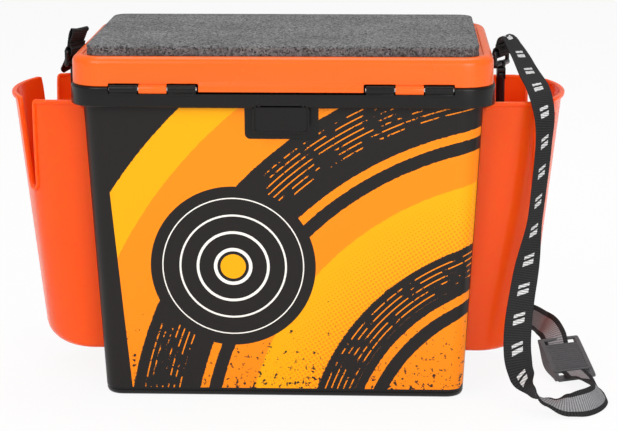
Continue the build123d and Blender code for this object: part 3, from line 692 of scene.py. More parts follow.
def rounded_ring(half_x, half_y, corner, cuts_x, cuts_y, steps):
    """Rounded rectangle in plan, anticlockwise from the front's left end: each straight side holds its
    cuts (shares of its half length, -1 to 1), each corner a quarter circle (c sin t, c (1 - cos t))."""
    turn = arc(steps)[1:-1]
    flat_x = cuts_x * (half_x - corner)
    flat_y = cuts_y * (half_y - corner)
    x = np.concatenate([
        flat_x,
        half_x - corner + corner * np.sin(turn),
        np.full(len(flat_y), half_x),
        half_x - corner + corner * np.cos(turn),
    ])
    y = np.concatenate([
        np.full(len(flat_x), -half_y),
        corner - half_y - corner * np.cos(turn),
        flat_y,
        half_y - corner + corner * np.sin(turn),
    ])
    half = np.column_stack([x, y])
    return np.concatenate([half, -half])


def level(plan, z):
    """Plan points at one height, or at a height for each."""
    return np.column_stack([plan, np.broadcast_to(z, len(plan))])


def ring_faces(rows, columns):
    """Quads between neighbouring rings of points, each ring closed on itself."""
    index = np.arange(rows * columns).reshape(rows, columns)
    beside = np.roll(index, -1, axis=1)
    return np.stack([index[:-1], beside[:-1], beside[1:], index[1:]], axis=-1).reshape(-1, 4)


def ring_surface(rings):
    """Closed surface through rings of equal count; the first and the last are each closed by one face."""
    rows = np.array(rings)
    count, columns = rows.shape[:2]
    last = (count - 1) * columns
    faces = ring_faces(count, columns).tolist()
    faces.append(list(range(columns - 1, -1, -1)))
    faces.append(list(range(last, last + columns)))
    return rows.reshape(-1, 3), faces


def carried(line, first, second, wide, thick):
    """Closed surface of a section carried along a line: p + w a + t b at each point p, where a and b are the
    section's axes there, w its widths and t its thicknesses."""
    return ring_surface(
        line[:, None, :] + first[:, None, :] * wide[None, :, None] + second[:, None, :] * thick[:, :, None]
    )


def joined(surfaces):
    """Several surfaces as one list of points and one of faces."""
    points = np.concatenate([surface[0] for surface in surfaces])
    faces = []
    start = 0
    for surface in surfaces:
        faces.extend([[start + corner for corner in face] for face in surface[1]])
        start += len(surface[0])
    return points, faces


def soft_block(low, high, radius):
    """Block with rounded edges: rounded rectangles whose inset r (1 - cos t) follows the height r sin t.
    Their corners shrink a little less than the inset, so that the points of a corner never meet."""
    steps, corner_shrink = 3, 0.92
    low = np.array(low)
    high = np.array(high)
    middle = (low + high) / 2
    half = (high - low) / 2
    ends = np.array([-1.0, 1.0])
    rings = []
    for t in np.concatenate([-arc(steps)[::-1], arc(steps)]):
        inset = radius * (1 - np.cos(t))
        corner = radius - corner_shrink * inset
        plan = rounded_ring(half[0] - inset, half[1] - inset, corner, ends, ends, steps)
        rings.append(level(plan, np.sign(t) * (half[2] - radius) + radius * np.sin(t)))
    points, faces = ring_surface(rings)
    return points + middle, faces


def lathe(radii, places, steps):
    """Round bar along X: circles of the given radii at the given places."""
    turn = np.linspace(0, 2 * np.pi, steps, endpoint=False)
    return ring_surface([
        np.column_stack([np.full(steps, place), radius * np.cos(turn), radius * np.sin(turn)])
        for radius, place in zip(radii, places)
    ])


def round_bar(half, radius, chamfer, steps=32):
    """Bar along X, centred on the origin, with its ends rounded off by the chamfer."""
    t = arc(4)
    radii = radius - chamfer * (1 - np.sin(t))
    places = half - chamfer * (1 - np.cos(t))
    return lathe(np.concatenate([radii, radii[::-1]]), np.concatenate([-places, places[::-1]]), steps)


def extruded(profile, x_low, x_high):
    """Closed profile in the YZ plane carried along X."""
    return ring_surface([np.column_stack([np.full(len(profile), x), profile]) for x in (x_low, x_high)])


def moved(surface, offset):
    """A surface shifted by an offset."""
    return surface[0] + np.array(offset), surface[1]


def reordered(surface, axes):
    """A surface with its axes taken in another order."""
    return surface[0][:, axes], surface[1]


def half_turned(surface):
    """A surface turned half a turn about Z."""
    return surface[0] * np.array([-1.0, -1.0, 1.0]), surface[1]


def turned_about(surface, angle, place):
    """A surface turned about the upright line through a place in plan."""
    turn = np.array(Matrix.Rotation(math.radians(angle), 3, "Z"))
    return surface[0] @ turn.T + np.array([*place, 0.0]), surface[1]


def add_piece(name, surface, material, body, nodes, sharp, bevel=0.0):
    """Mesh object from points and faces, smooth but for edges sharper than an angle, riding on a body."""
    mesh = bpy.data.meshes.new(name)
    mesh.from_pydata(surface[0].tolist(), [], surface[1])
    shape = bmesh.new()
    shape.from_mesh(mesh)
    bmesh.ops.recalc_face_normals(shape, faces=shape.faces)
    shape.to_mesh(mesh)
    shape.free()
    return add_object(name, mesh, material, body, nodes, sharp, bevel)


def add_object(name, mesh, material, body, nodes, sharp, bevel):
    """Object for a mesh, with its material, shading, bevel and the frame's facts."""
    mesh.polygons.foreach_set("use_smooth", [True] * len(mesh.polygons))
    mesh.set_sharp_from_angle(angle=math.radians(sharp))
    mesh.materials.clear()
    mesh.materials.append(material)
    piece = bpy.data.objects.new(name, mesh)
    bpy.context.collection.objects.link(piece)
    if bevel:
        edge = piece.modifiers.new("edges", "BEVEL")
        edge.width = bevel
        edge.segments = 2
        edge.limit_method = "ANGLE"
        edge.angle_limit = math.radians(30)
        edge.harden_normals = False
    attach(piece, body)
    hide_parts(*nodes)
    return piece


def dressed_copy(node, material, body, bevel):
    """Merged copy of a CAD node with its edges eased."""
    merge_distance, flat_angle, sharp = 1e-6, math.radians(1.0), 40.0
    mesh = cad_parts[node].data.copy()
    shape = bmesh.new()
    shape.from_mesh(mesh)
    bmesh.ops.remove_doubles(shape, verts=shape.verts, dist=merge_distance)
    bmesh.ops.dissolve_limit(shape, angle_limit=flat_angle, verts=shape.verts, edges=shape.edges)
    shape.to_mesh(mesh)
    shape.free()
    mesh.name = node + "_dressed"
    return add_object(node + "_dressed", mesh, material, body, (node,), sharp, bevel)


# Trough of the hinge rods in the rim, in metres: radius, wall under it, length of its end and its inner lip
TROUGH_RADIUS = 0.0046
TROUGH_WALL = 0.002
TROUGH_END = 0.0005
TROUGH_LIP = 0.0003

# Steps of a corner in plan, points of a long and a short side, and steps of a pocket's bottom edge
PLAN_STEPS = 14
LONG_STEPS = 41
SHORT_STEPS = 21
POCKET_BOTTOM = 6

# How the pockets hang: distance of the hangers from the box's middle in metres, slope in degrees along which
# hangers lean and pockets slide out, and gap between a pocket's top and the rim
HANGER_Y = 0.044
SLIDE_SLOPE = 30.0
SLIDE_GAP = 0.0004


def tub_section(tub, z, inset=0.0):
    """Half length, half depth and corner radius of the tub's outside at a height, on its straight taper."""
    share = z / tub.rim_low
    half_x = (tub.foot_length + (tub.mouth_length - tub.foot_length) * share) / 2
    half_y = (tub.foot_depth + (tub.mouth_depth - tub.foot_depth) * share) / 2
    corner = tub.foot_corner + (tub.mouth_corner - tub.foot_corner) * share
    return half_x - inset, half_y - inset, corner - inset


def rim_section(tub, inset):
    """Half length, half depth and corner radius of the rim, drawn in by an inset."""
    return tub.rim_length / 2 - inset, tub.rim_depth / 2 - inset, tub.rim_corner - inset


def side_cuts(half, breaks, spare):
    """Shares of a long straight side: even steps, with a close pair of cuts at each break."""
    even = np.linspace(-1, 1, LONG_STEPS)
    pairs = [sign * (place + shift) / half for place in breaks for shift in (0, spare) for sign in (-1, 1)]
    return np.unique(np.round(np.concatenate([even, pairs]), 6))


def trough_half(lid):
    """Half length of the trough that the hinge rods lie in."""
    return lid.knuckle_middle + 1.5 * lid.knuckle_width + 2 * lid.clip_gap


def tub_shell(tub, lid):
    """Tub and rim as one closed skin: up the outside, over the rim and its rod trough, down the inside."""
    straight = tub.rim_length / 2 - tub.rim_corner
    cuts = (side_cuts(straight, (trough_half(lid),), TROUGH_END), np.linspace(-1, 1, SHORT_STEPS), PLAN_STEPS)
    foot, thick, edge, low, top = tub.foot_radius, tub.rim_thick, tub.rim_edge, tub.rim_low, tub.rim_top
    foot_flat, wall_start, ease, chamfer, band_start = 0.006, 0.02, 0.002, 0.0008, 0.006
    past_trough, mouth_ease, inner_radius, inner_flat = 0.0068, 0.0006, 0.006, 0.016
    # Fine line moulded round the foot, as heights and depths
    foot_line = ((0.0046, 0.0), (0.0050, 0.0005), (0.0056, 0.0005), (0.0060, 0.0))
    rings = []

    def add(section, z):
        rings.append(level(rounded_ring(*section, *cuts), z))

    add(tub_section(tub, 0.0, foot + foot_flat), 0.0)
    for t in arc(6):
        add(tub_section(tub, 0.0, foot * (1 - np.sin(t))), foot * (1 - np.cos(t)))
    for z, inset in foot_line:
        add(tub_section(tub, z, inset), z)
    under = top - thick
    for z in np.linspace(wall_start, under - ease, 12):
        add(tub_section(tub, z), z)
    add(tub_section(tub, under, -ease), under)

    skirt = (
        (thick + ease, under), (thick, under - ease), (thick, low + chamfer), (thick - chamfer, low),
        (chamfer, low), (0.0, low + chamfer), (0.0, low + band_start),
    )
    for inset, z in skirt:
        add(rim_section(tub, inset), z)
    over = len(rings)
    for t in arc(7):
        add(rim_section(tub, edge * (1 - np.cos(t))), top - edge + edge * np.sin(t))
    add(rim_section(tub, edge + chamfer), top)
    add(rim_section(tub, past_trough), top)

    add(tub_section(tub, top, tub.wall - mouth_ease), top)
    for z in np.linspace(top - mouth_ease, tub.floor + inner_radius, 12):
        add(tub_section(tub, z, tub.wall), z)
    for t in arc(5)[1:]:
        z = tub.floor + inner_radius * (1 - np.sin(t))
        add(tub_section(tub, z, tub.wall + inner_radius * (1 - np.cos(t))), z)
    add(tub_section(tub, tub.floor, tub.wall + inner_flat), tub.floor)

    rows = np.array(rings)
    carve_trough(rows, tub, lid, over)
    return ring_surface(rows)


def carve_trough(rows, tub, lid, over):
    """Trough along the rim's long edges: a circle about the rod's axis from the rim's face inwards. Over is
    the first row of the rim's rounded edge; the rows under the rim go down to leave the trough its wall."""
    slack, long_side, ease = 0.0002, 0.006, 0.002
    face = tub.rim_depth / 2
    axis_inset = face - lid.rod_offset
    start = math.degrees(math.acos(axis_inset / TROUGH_RADIUS))
    turn = arc(6, start, 180.0)
    inset = axis_inset - TROUGH_RADIUS * np.cos(turn)
    height = lid.rod_height - TROUGH_RADIUS * np.sin(turn)
    inset = np.concatenate([inset, [inset[-1], inset[-1] + TROUGH_LIP]])
    height = np.concatenate([height, [tub.rim_top - TROUGH_LIP, tub.rim_top]])
    x, y = rows[over, :, 0], rows[over, :, 1].copy()
    on_side = np.abs(y) > face - long_side
    along = on_side & (np.abs(x) < trough_half(lid) + slack)
    beneath = on_side & (np.abs(x) < trough_half(lid) + TROUGH_END + slack)
    for row, (depth, z) in enumerate(zip(inset, height), over):
        rows[row, along, 1] = np.sign(y[along]) * (face - depth)
        rows[row, along, 2] = z
    under = lid.rod_height - TROUGH_RADIUS - TROUGH_WALL
    for row, drop in enumerate((ease, 0.0, 0.0, ease), over - 9):
        rows[row, beneath, 2] = np.minimum(rows[row, beneath, 2], under - drop)


def rod_clips(lid):
    """Clips on the rim: a round barrel about the rod with a mouth open upwards, on a foot in the trough."""
    clearance, foot_half, foot_top, foot_ease = 0.00012, 0.0034, 0.003, 0.0005
    radius, axis = lid.knuckle_radius, lid.rod_height
    seat = lid.rod_radius + clearance
    mouth = math.degrees(math.acos(seat / radius))
    outside = arc(36, mouth, -180.0 - mouth)
    bed = arc(12, 180.0, 360.0)
    barrel = np.concatenate([
        np.column_stack([radius * np.cos(outside), radius * np.sin(outside)]),
        np.column_stack([seat * np.cos(bed), seat * np.sin(bed)]),
    ])
    low = axis - TROUGH_RADIUS - TROUGH_WALL / 2
    step = lid.knuckle_width + lid.clip_gap
    middles = [side * lid.knuckle_middle + shift for side in (-1, 1) for shift in (-step, step)]
    surfaces = []
    for y in (-lid.rod_offset, lid.rod_offset):
        for middle in middles:
            start, end = middle - lid.knuckle_width / 2, middle + lid.knuckle_width / 2
            surfaces.append(extruded(barrel + np.array([y, axis]), start, end))
            surfaces.append(soft_block(
                (start, y - foot_half, low), (end, y + foot_half, axis - foot_top), foot_ease,
            ))
    return joined(surfaces)


def grip_tab(tub):
    """Tab under the rim: rounded plates in the XZ plane, with a raised edge round a sunk panel, and two
    studs."""
    corner, ease, sunk = 0.005, 0.0006, 0.0007
    stud_half, stud_radius, stud_chamfer, stud_x, stud_rise = 0.0005, 0.0013, 0.0004, 0.0195, 0.002
    front = tub.rim_depth / 2
    back = front - tub.rim_thick
    top = tub.rim_low + tub.rim_thick
    half_z = (top - tub.tab_low) / 2
    ends = np.linspace(-1, 1, 5)
    steps = (
        (0.0008, back), (0.0, back + ease), (0.0, front - ease), (ease, front),
        (0.0018, front), (0.0024, front - sunk), (0.004, front - sunk),
    )
    rings = []
    for inset, depth in steps:
        plan = rounded_ring(tub.tab_width / 2 - inset, half_z - inset, corner - inset, ends, ends, 6)
        rings.append(np.column_stack([
            plan[:, 0], np.full(len(plan), -depth), plan[:, 1] + (top + tub.tab_low) / 2,
        ]))
    stud = reordered(round_bar(stud_half, stud_radius, stud_chamfer, 16), [1, 0, 2])
    studs = [moved(stud, (x, -front, tub.rim_low + stud_rise)) for x in (-stud_x, stud_x)]
    return joined([ring_surface(rings), *studs])


def strap_lug(tub):
    """Ear on the right wall: a round bar that stands out, a leg down from its end and a foot to the wall."""
    bar_z, out, drop, radius, leg, chamfer, ease = 0.244, 0.210, 0.020, 0.0025, 0.0045, 0.0006, 0.0008
    low = bar_z - drop
    root, foot_root = (tub_section(tub, z)[0] - tub.wall / 2 for z in (bar_z, low))
    bar = moved(round_bar((out - root) / 2, radius, chamfer), ((out + root) / 2, 0.0, bar_z))
    post = soft_block((out - leg, -radius, low), (out, radius, bar_z), ease)
    foot = soft_block((foot_root, -radius, low), (out, radius, low + leg), ease)
    return joined([bar, post, foot])


def pocket_hanger(tub, y):
    """Tongue on the right wall that leans up and out through the pocket's back."""
    height, reach, root, half_wide, half_thick, ease = 0.19, 0.014, 0.0024, 0.012, 0.002, 0.0008
    cos, sin = math.cos(math.radians(SLIDE_SLOPE)), math.sin(math.radians(SLIDE_SLOPE))
    points, faces = soft_block((-root, y - half_wide, -half_thick), (reach, y + half_wide, half_thick), ease)
    out = np.column_stack([
        points[:, 0] * cos - points[:, 2] * sin + tub_section(tub, height)[0],
        points[:, 1],
        points[:, 0] * sin + points[:, 2] * cos + height,
    ])
    return out, faces


class BOX_OT_tub(bpy.types.Operator):
    """Moulded tub with its rim, clips, tab, lugs and hangers"""

    bl_idname = "fishing_box.tub"
    bl_label = "Tub"

    def execute(self, context):
        tub = context.scene.box_tub
        lid = context.scene.box_lid
        black = finish_of(tub_polypropylene)
        fittings = [strap_lug(tub), pocket_hanger(tub, -HANGER_Y), pocket_hanger(tub, HANGER_Y)]
        fittings += [half_turned(fitting) for fitting in fittings]
        pieces = (
            ("tub_shell", tub_shell(tub, lid), 32.0, 0.0),
            ("rod_clips", rod_clips(lid), 30.0, 0.0003),
            ("grip_tab", grip_tab(tub), 30.0, 0.0),
            ("tub_fittings", joined(fittings), 35.0, 0.0),
        )
        for name, surface, sharp, bevel in pieces:
            add_piece(name, surface, black, "box", ("body_shell",), sharp, bevel)
        return {"FINISHED"}


class BOX_OT_label(bpy.types.Operator):
    """Printed film round the tub's front wall"""

    bl_idname = "fishing_box.label"
    bl_label = "Label"

    def execute(self, context):
        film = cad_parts["front_label"]
        film.data.materials.clear()
        film.data.materials.append(finish_of(label_film))
        return {"FINISHED"}


def lid_shell(lid):
    """Lid as one closed skin: inside ceiling, down the inner wall, round its edge, up and over to the tray.
    Its lower edge is lifted over each clip."""
    ease, wall_start, ceiling_flat, tray_ease, clip_lift = 0.0005, 0.008, 0.012, 0.0003, 0.0026
    tray_foot, tray_flat, spare, slack = 0.0004, 0.006, 0.0003, 0.0001
    straight = lid.length / 2 - lid.corner
    step = lid.knuckle_width + lid.clip_gap
    reach = lid.knuckle_width / 2 + lid.clip_gap
    breaks = [lid.knuckle_middle + shift + edge for shift in (-step, step) for edge in (-reach, reach)]
    cuts = (side_cuts(straight, breaks, spare), np.linspace(-1, 1, SHORT_STEPS), PLAN_STEPS)
    rings = []

    def add(inset, z):
        section = (lid.length / 2 - inset, lid.depth / 2 - inset, lid.corner - inset)
        rings.append(level(rounded_ring(*section, *cuts), z))

    tray = lid.top - lid.tray_depth
    ceiling = tray - lid.wall
    inner = lid.edge - lid.wall
    add(lid.wall + inner + ceiling_flat, ceiling)
    for t in arc(6)[::-1]:
        add(lid.wall + inner * (1 - np.cos(t)), ceiling - inner + inner * np.sin(t))
    add(lid.wall, lid.low + wall_start)
    low_rows = len(rings)
    for inset, rise in ((lid.wall, ease), (lid.wall - ease, 0.0), (ease, 0.0), (0.0, ease)):
        add(inset, lid.low + rise)
    add(0.0, lid.low + wall_start)
    for t in arc(9):
        add(lid.edge * (1 - np.cos(t)), lid.top - lid.edge + lid.edge * np.sin(t))
    tray_inset = (lid.length - lid.pad_length) / 2 - lid.tray_gap
    add(tray_inset - ease, lid.top)
    add(tray_inset, lid.top - tray_ease)
    add(tray_inset + tray_foot, tray)
    add(tray_inset + tray_flat, tray)

    rows = np.array(rings)
    for row in rows[low_rows:low_rows + 4]:
        over_clip = np.abs(np.abs(np.abs(row[:, 0]) - lid.knuckle_middle) - step) < reach + slack
        long_side = np.abs(row[:, 1]) > lid.depth / 2 - lid.wall - 2 * slack
        row[over_clip & long_side, 2] += clip_lift
    return ring_surface(rows)


def lid_fittings(lid):
    """Knuckle barrels and the flared lip, on both long sides. The lip's profile goes from its root along its
    underside, round its foot and up its flare to the wall."""
    root, foot_radius, barrel_chamfer = 0.0024, 0.0012, 0.0006
    out, low, proud = lid.depth / 2, lid.lip_low, lid.lip_proud
    turn = arc(4)
    foot = np.column_stack([
        out + proud - foot_radius * (1 - np.sin(turn)), low + foot_radius * (1 - np.cos(turn)),
    ])
    # How far the flare stands out of the wall, and its heights above the lid's lower edge
    flare = ((proud, -0.0004), (proud * 0.75, 0.0012), (0.0004, 0.0038), (-0.0003, 0.0052), (-root, 0.0052))
    profile = np.concatenate([
        [(out - root, low)], foot, [(out + stand, lid.low + rise) for stand, rise in flare],
    ])
    lip = extruded(profile, -lid.lip_half, lid.lip_half)
    barrel = round_bar(lid.knuckle_width / 2, lid.knuckle_radius, barrel_chamfer, 40)
    surfaces = [lip, half_turned(lip)]
    for y in (-lid.rod_offset, lid.rod_offset):
        for x in (-lid.knuckle_middle, lid.knuckle_middle):
            surfaces.append(moved(barrel, (x, y, lid.rod_height)))
    return joined(surfaces)


class BOX_OT_lid(bpy.types.Operator):
    """Lid moulding with its knuckles and lips"""

    bl_idname = "fishing_box.lid"
    bl_label = "Lid"

    def execute(self, context):
        lid = context.scene.box_lid
        orange = finish_of(lid_polypropylene)
        add_piece("lid_moulding", lid_shell(lid), orange, "lid", ("lid_shell",), 32.0)
        add_piece("lid_fittings", lid_fittings(lid), orange, "lid", ("lid_shell",), 32.0, 0.0003)
        return {"FINISHED"}


class BOX_OT_hinge_rods(bpy.types.Operator):
    """Steel rods through the knuckles and clips, with their ends showing past the clips"""

    bl_idname = "fishing_box.hinge_rods"
    bl_label = "Hinge rods"

    def execute(self, context):
        end_shows, end_chamfer, sharp = 0.0006, 0.0005, 50.0
        lid = context.scene.box_lid
        half = 1.5 * lid.knuckle_width + lid.clip_gap + end_shows
        bar = round_bar(half, lid.rod_radius, end_chamfer, 24)
        for place, y, body in (("front", -lid.rod_offset, "front_rods"), ("rear", lid.rod_offset, "lid")):
            for hand, side in SIDES.items():
                rod = moved(bar, (side * lid.knuckle_middle, y, lid.rod_height))
                name = "rod_" + place + "_" + hand
                add_piece(name + "_drawn", rod, finish_of(rod_steel), body, (name,), sharp)
        return {"FINISHED"}


def seat_pad(lid):
    """Foam sheet: a rounded rectangle whose top falls by the crown towards its edge and whose cut sides
    are pitted by smooth seeded noise; and how much each point belongs to the cut edge."""
    random = np.random.default_rng(7)
    crown, ease, waist, side_inset, side_pits, edge_pits = 0.0011, 0.0016, 0.0005, 0.0002, 0.00022, 0.00012
    bottom_flat, bottom_inset, corner_limit, corner_shrink = 0.012, 0.001, 0.012, 0.9
    top_insets = (0.0035, 0.006, 0.012, 0.024, 0.04, 0.06, 0.08, 0.098)
    bottom = lid.top - lid.tray_depth
    cuts = (np.linspace(-1, 1, 160), np.linspace(-1, 1, 100), 12)
    rings = []
    marks = []

    def add(inset, z, edge, pits):
        corner = lid.pad_corner - corner_shrink * min(inset, corner_limit)
        plan = rounded_ring(lid.pad_length / 2 - inset, lid.pad_depth / 2 - inset, corner, *cuts)
        rough = random.normal(0.0, pits, len(plan))
        rough = (rough + np.roll(rough, 1)) / 2
        plan = plan + unit(plan) * rough[:, None]
        out = np.maximum(np.abs(plan[:, 0]) / lid.pad_length, np.abs(plan[:, 1]) / lid.pad_depth) * 2
        rings.append(level(plan, z - crown * out ** 3 if z > lid.pad_top - 2 * ease else z))
        marks.append(np.full(len(plan), edge))

    add(bottom_flat, bottom, 0.0, 0.0)
    add(bottom_inset, bottom, 1.0, 0.0)
    for share in np.linspace(0.08, 0.8, 7):
        pull = waist * np.sin(np.pi * share)
        add(side_inset + pull, bottom + (lid.pad_top - crown - bottom) * share, 1.0, side_pits)
    for t in arc(4)[1:]:
        add(side_inset + ease * (1 - np.cos(t)), lid.pad_top - ease + ease * np.sin(t), np.cos(t), edge_pits)
    for inset in top_insets:
        add(inset, lid.pad_top, 0.0, 0.0)
    return ring_surface(rings), np.concatenate(marks)


class BOX_OT_seat_pad(bpy.types.Operator):
    """Foam seat in the lid's tray"""

    bl_idname = "fishing_box.seat_pad"
    bl_label = "Seat pad"

    def execute(self, context):
        surface, edge = seat_pad(context.scene.box_lid)
        pad = add_piece("seat_foam_pad", surface, finish_of(seat_foam), "lid", ("seat_pad",), 60.0)
        marks = pad.data.attributes.new("cut_edge", "FLOAT", "POINT")
        marks.data.foreach_set("value", edge.astype(np.float32))
        return {"FINISHED"}


# Hanger window in a pocket's back, in metres: its near and far edge across, and its lower and upper edge
WINDOW_NEAR = 0.0316
WINDOW_FAR = 0.0564
WINDOW_LOW = 0.1874
WINDOW_TOP = 0.1946


def slide_height(tub, pocket, x):
    """Height of a pocket's top edge at x, on the slope along which it slides out from under the tub's rim."""
    return pocket.top - (tub.rim_length / 2 + SLIDE_GAP - x) * math.tan(math.radians(SLIDE_SLOPE))


def pocket_corner(pocket, z):
    """Radius of the outer corners at heights z, c + (c0 - c) (1 - s)², with s from 0 at the bottom to 1 at
    the slots' ends."""
    share = np.clip((z - pocket.low) / (pocket.slot_end - pocket.low), 0, 1)
    return pocket.corner + (pocket.corner_low - pocket.corner) * (1 - share) ** 2


def pocket_arcs(tub, pocket, z):
    """Outline of the right pocket at heights z: its back, the centre of the bulged face's arc on y = 0, and
    the centre of the rear corner's arc, which touches the face's arc from inside."""
    share = (z - pocket.low) / (pocket.top - pocket.low)
    back = tub_section(tub, z)[0] + pocket.gap
    middle = back + pocket.reach_low + (pocket.reach_top - pocket.reach_low) * share - pocket.face
    corner = pocket_corner(pocket, z)
    corner_y = pocket.half_low + (pocket.half_top - pocket.half_low) * share - corner
    corner_x = middle + np.sqrt((pocket.face - corner) ** 2 - corner_y ** 2)
    return back, middle, corner_x, corner_y


def pocket_plan(tub, pocket, z, inset, spots):
    """Plan of the right pocket at heights z, drawn in by an inset, and the direction that its wall faces.
    Spots give the run that each column lies on and its place there: the back (0) in metres across, then
    the front side, front corner, outer face, rear corner and rear side (1 to 5) in shares."""
    run, place = spots
    back, middle, corner_x, corner_y = pocket_arcs(tub, pocket, z)
    lean = np.arctan2(corner_y, corner_x - middle)
    quarter = np.pi / 2
    facing = np.select(
        [run == 1, run == 2, run == 3, run == 4],
        [
            -quarter + 0 * place, (quarter - lean) * place - quarter, lean * (2 * place - 1),
            lean + (quarter - lean) * place,
        ],
        quarter + 0 * place,
    )
    corner = pocket_corner(pocket, z)
    radius = np.where(run == 3, pocket.face, corner) - inset
    centre_x = np.select(
        [run == 1, run == 3, run == 5],
        [back + (corner_x - back) * place, middle + 0 * place, corner_x + (back - corner_x) * place],
        corner_x + 0 * place,
    )
    half = corner_y + corner - inset
    x = np.where(run == 0, back, centre_x + radius * np.cos(facing))
    y = np.where(run == 0, np.clip(place, -half, half), np.sign(run - 3) * corner_y + radius * np.sin(facing))
    return x, y, facing


def pocket_spots(pocket):
    """Columns round a pocket, closest on the corners, where the slots are. Across the back, the outermost
    place lies past the side and is clipped to it."""
    past_side, past_window, inner, ease = 1.0, 0.0575, 0.02, 0.0006
    across = [past_side, past_window, WINDOW_FAR, WINDOW_NEAR + ease, pocket.notch_half - ease, inner, 0.0]
    across = np.array(across + [-value for value in across[-2::-1]])
    side = np.linspace(0, 1, 22)
    bend = np.linspace(0, 1, 44)[1:-1]
    runs = (across, side[1:], bend, np.linspace(0, 1, 100), bend, side[:-1])
    run = np.concatenate([np.full(len(places), number) for number, places in enumerate(runs)])
    return run, np.concatenate(runs)


def pocket_top(tub, pocket, spots):
    """Height of the pocket's top edge at each column: the rim, a slope along which it slides out from under
    the tub's rim, the notch in the back, and in each outer corner a slot with a round end,
    z = foot - sqrt(r² - s²). The slot stands upright while the wall leans in, so the height is settled
    by repeating."""
    repeats, slack = 12, 0.0003
    run, place = spots
    cos, sin = math.cos(pocket.slot_angle), math.sin(pocket.slot_angle)
    corner_x, corner_y = pocket_arcs(tub, pocket, pocket.top)[2:]
    low, high, ease = pocket.slot_low_half, pocket.slot_top_half, pocket.slot_ease
    foot = pocket.slot_end + low
    steep = (pocket.top - foot) / (high - low)
    top = np.full(len(run), pocket.top)
    for _ in range(repeats):
        x, y, _ = pocket_plan(tub, pocket, top, 0.0, spots)
        offset = np.abs((np.abs(y) - corner_y) * cos - (x - corner_x) * sin)
        bowl = foot - np.sqrt(np.clip(low ** 2 - offset ** 2, 0, None))
        slot = np.where(offset < low, bowl, foot + (offset - low) * steep)
        short = np.clip(high + ease - offset, 0, ease)
        slot = np.minimum(slot, pocket.top - ease + np.sqrt(ease ** 2 - short ** 2))
        rim = np.where(run > 0, np.minimum(slot, pocket.top), pocket.top)
        top = np.minimum(rim, slide_height(tub, pocket, x))
    return np.where((run == 0) & (np.abs(place) < pocket.notch_half - slack), pocket.notch_low, top)


def pocket_skin(tub, pocket, spots, top, inset, rows):
    """One skin of the pocket: a bottom edge that is rounder on the outer face than along the sides, then the
    wall up to the top edge, as rows of points."""
    bottom_flat = 0.006
    run, place = spots
    outward = eased(np.select([run == 2, run == 3, run == 4], [place, 1 + 0 * place, 1 - place], 0.0))
    radius = pocket.bottom_radius + (pocket.bottom_outer - pocket.bottom_radius) * outward - inset
    low = pocket.low + inset
    start = low + radius
    grid = [(low + 0 * radius, inset + radius + bottom_flat)]
    grid += [(low + radius * (1 - np.cos(t)), inset + radius * (1 - np.sin(t))) for t in arc(POCKET_BOTTOM)]
    grid += [(start + (top - start) * share, inset + 0 * top) for share in rows]
    points = []
    for z, drawn_in in grid:
        x, y, _ = pocket_plan(tub, pocket, z, drawn_in, spots)
        if inset > 0:
            x = np.maximum(x, tub_section(tub, z)[0] + pocket.gap + inset)
        points.append(np.column_stack([x, y, z]))
    return np.array(points)


def pocket_rows(tub, pocket):
    """Shares of the wall's height for the rows, with rows at the hanger windows' edges, and these edges."""
    start = pocket.low + pocket.bottom_radius
    back_top = slide_height(tub, pocket, tub_section(tub, pocket.top)[0] + pocket.gap)
    window = [(z - start) / (back_top - start) for z in (WINDOW_LOW, WINDOW_TOP)]
    return np.unique(np.round(np.concatenate([np.linspace(0.05, 1, 24), window]), 6)), window


def pocket_shell(tub, pocket):
    """Right pocket: an outer and an inner skin joined along the top edge and round the hanger windows. Each
    window reaches from the row under its lower edge to the row under its upper edge."""
    spots = pocket_spots(pocket)
    run, place = spots
    top = pocket_top(tub, pocket, spots)
    shares, window = pocket_rows(tub, pocket)
    outer, inner = (pocket_skin(tub, pocket, spots, top, inset, shares) for inset in (0.0, pocket.wall))
    count, columns = outer.shape[:2]
    first, last = (POCKET_BOTTOM + 1 + int(np.argmin(np.abs(shares - edge))) for edge in window)
    rows = np.arange(count - 1)
    in_rows = (rows >= first) & (rows < last)
    middle = np.abs((place + np.roll(place, -1)) / 2)
    in_columns = (run == 0) & (np.roll(run, -1) == 0) & (middle > WINDOW_NEAR) & (middle < WINDOW_FAR)
    keep = ~(in_rows[:, None] & in_columns[None, :]).reshape(-1)
    size = count * columns
    quads = ring_faces(count, columns)[keep]
    faces = quads.tolist() + (quads[:, ::-1] + size).tolist()
    edge = np.arange(columns) + (count - 1) * columns
    faces += wall_faces(np.append(edge, edge[0]), size)
    faces += [list(range(columns - 1, -1, -1)), list(range(size, size + columns))]
    faces += window_faces(np.flatnonzero(in_columns), first, last, columns, size)
    return np.concatenate([outer.reshape(-1, 3), inner.reshape(-1, 3)]), faces


def wall_faces(line, size):
    """Faces through the wall along a line of the outer skin's points; the inner skin's come a size later."""
    return np.column_stack([line[:-1], line[1:], line[1:] + size, line[:-1] + size]).tolist()


def window_faces(hole_columns, first, last, columns, size):
    """Faces through the wall round each hanger window."""
    faces = []
    for group in np.split(hole_columns, np.flatnonzero(np.diff(hole_columns) > 1) + 1):
        across = np.append(group, group[-1] + 1)
        upright = np.arange(first, last + 1) * columns
        lines = [row * columns + across for row in (first, last)]
        lines += [upright + column for column in (across[0], across[-1])]
        for line in lines:
            faces += wall_faces(line, size)
    return faces


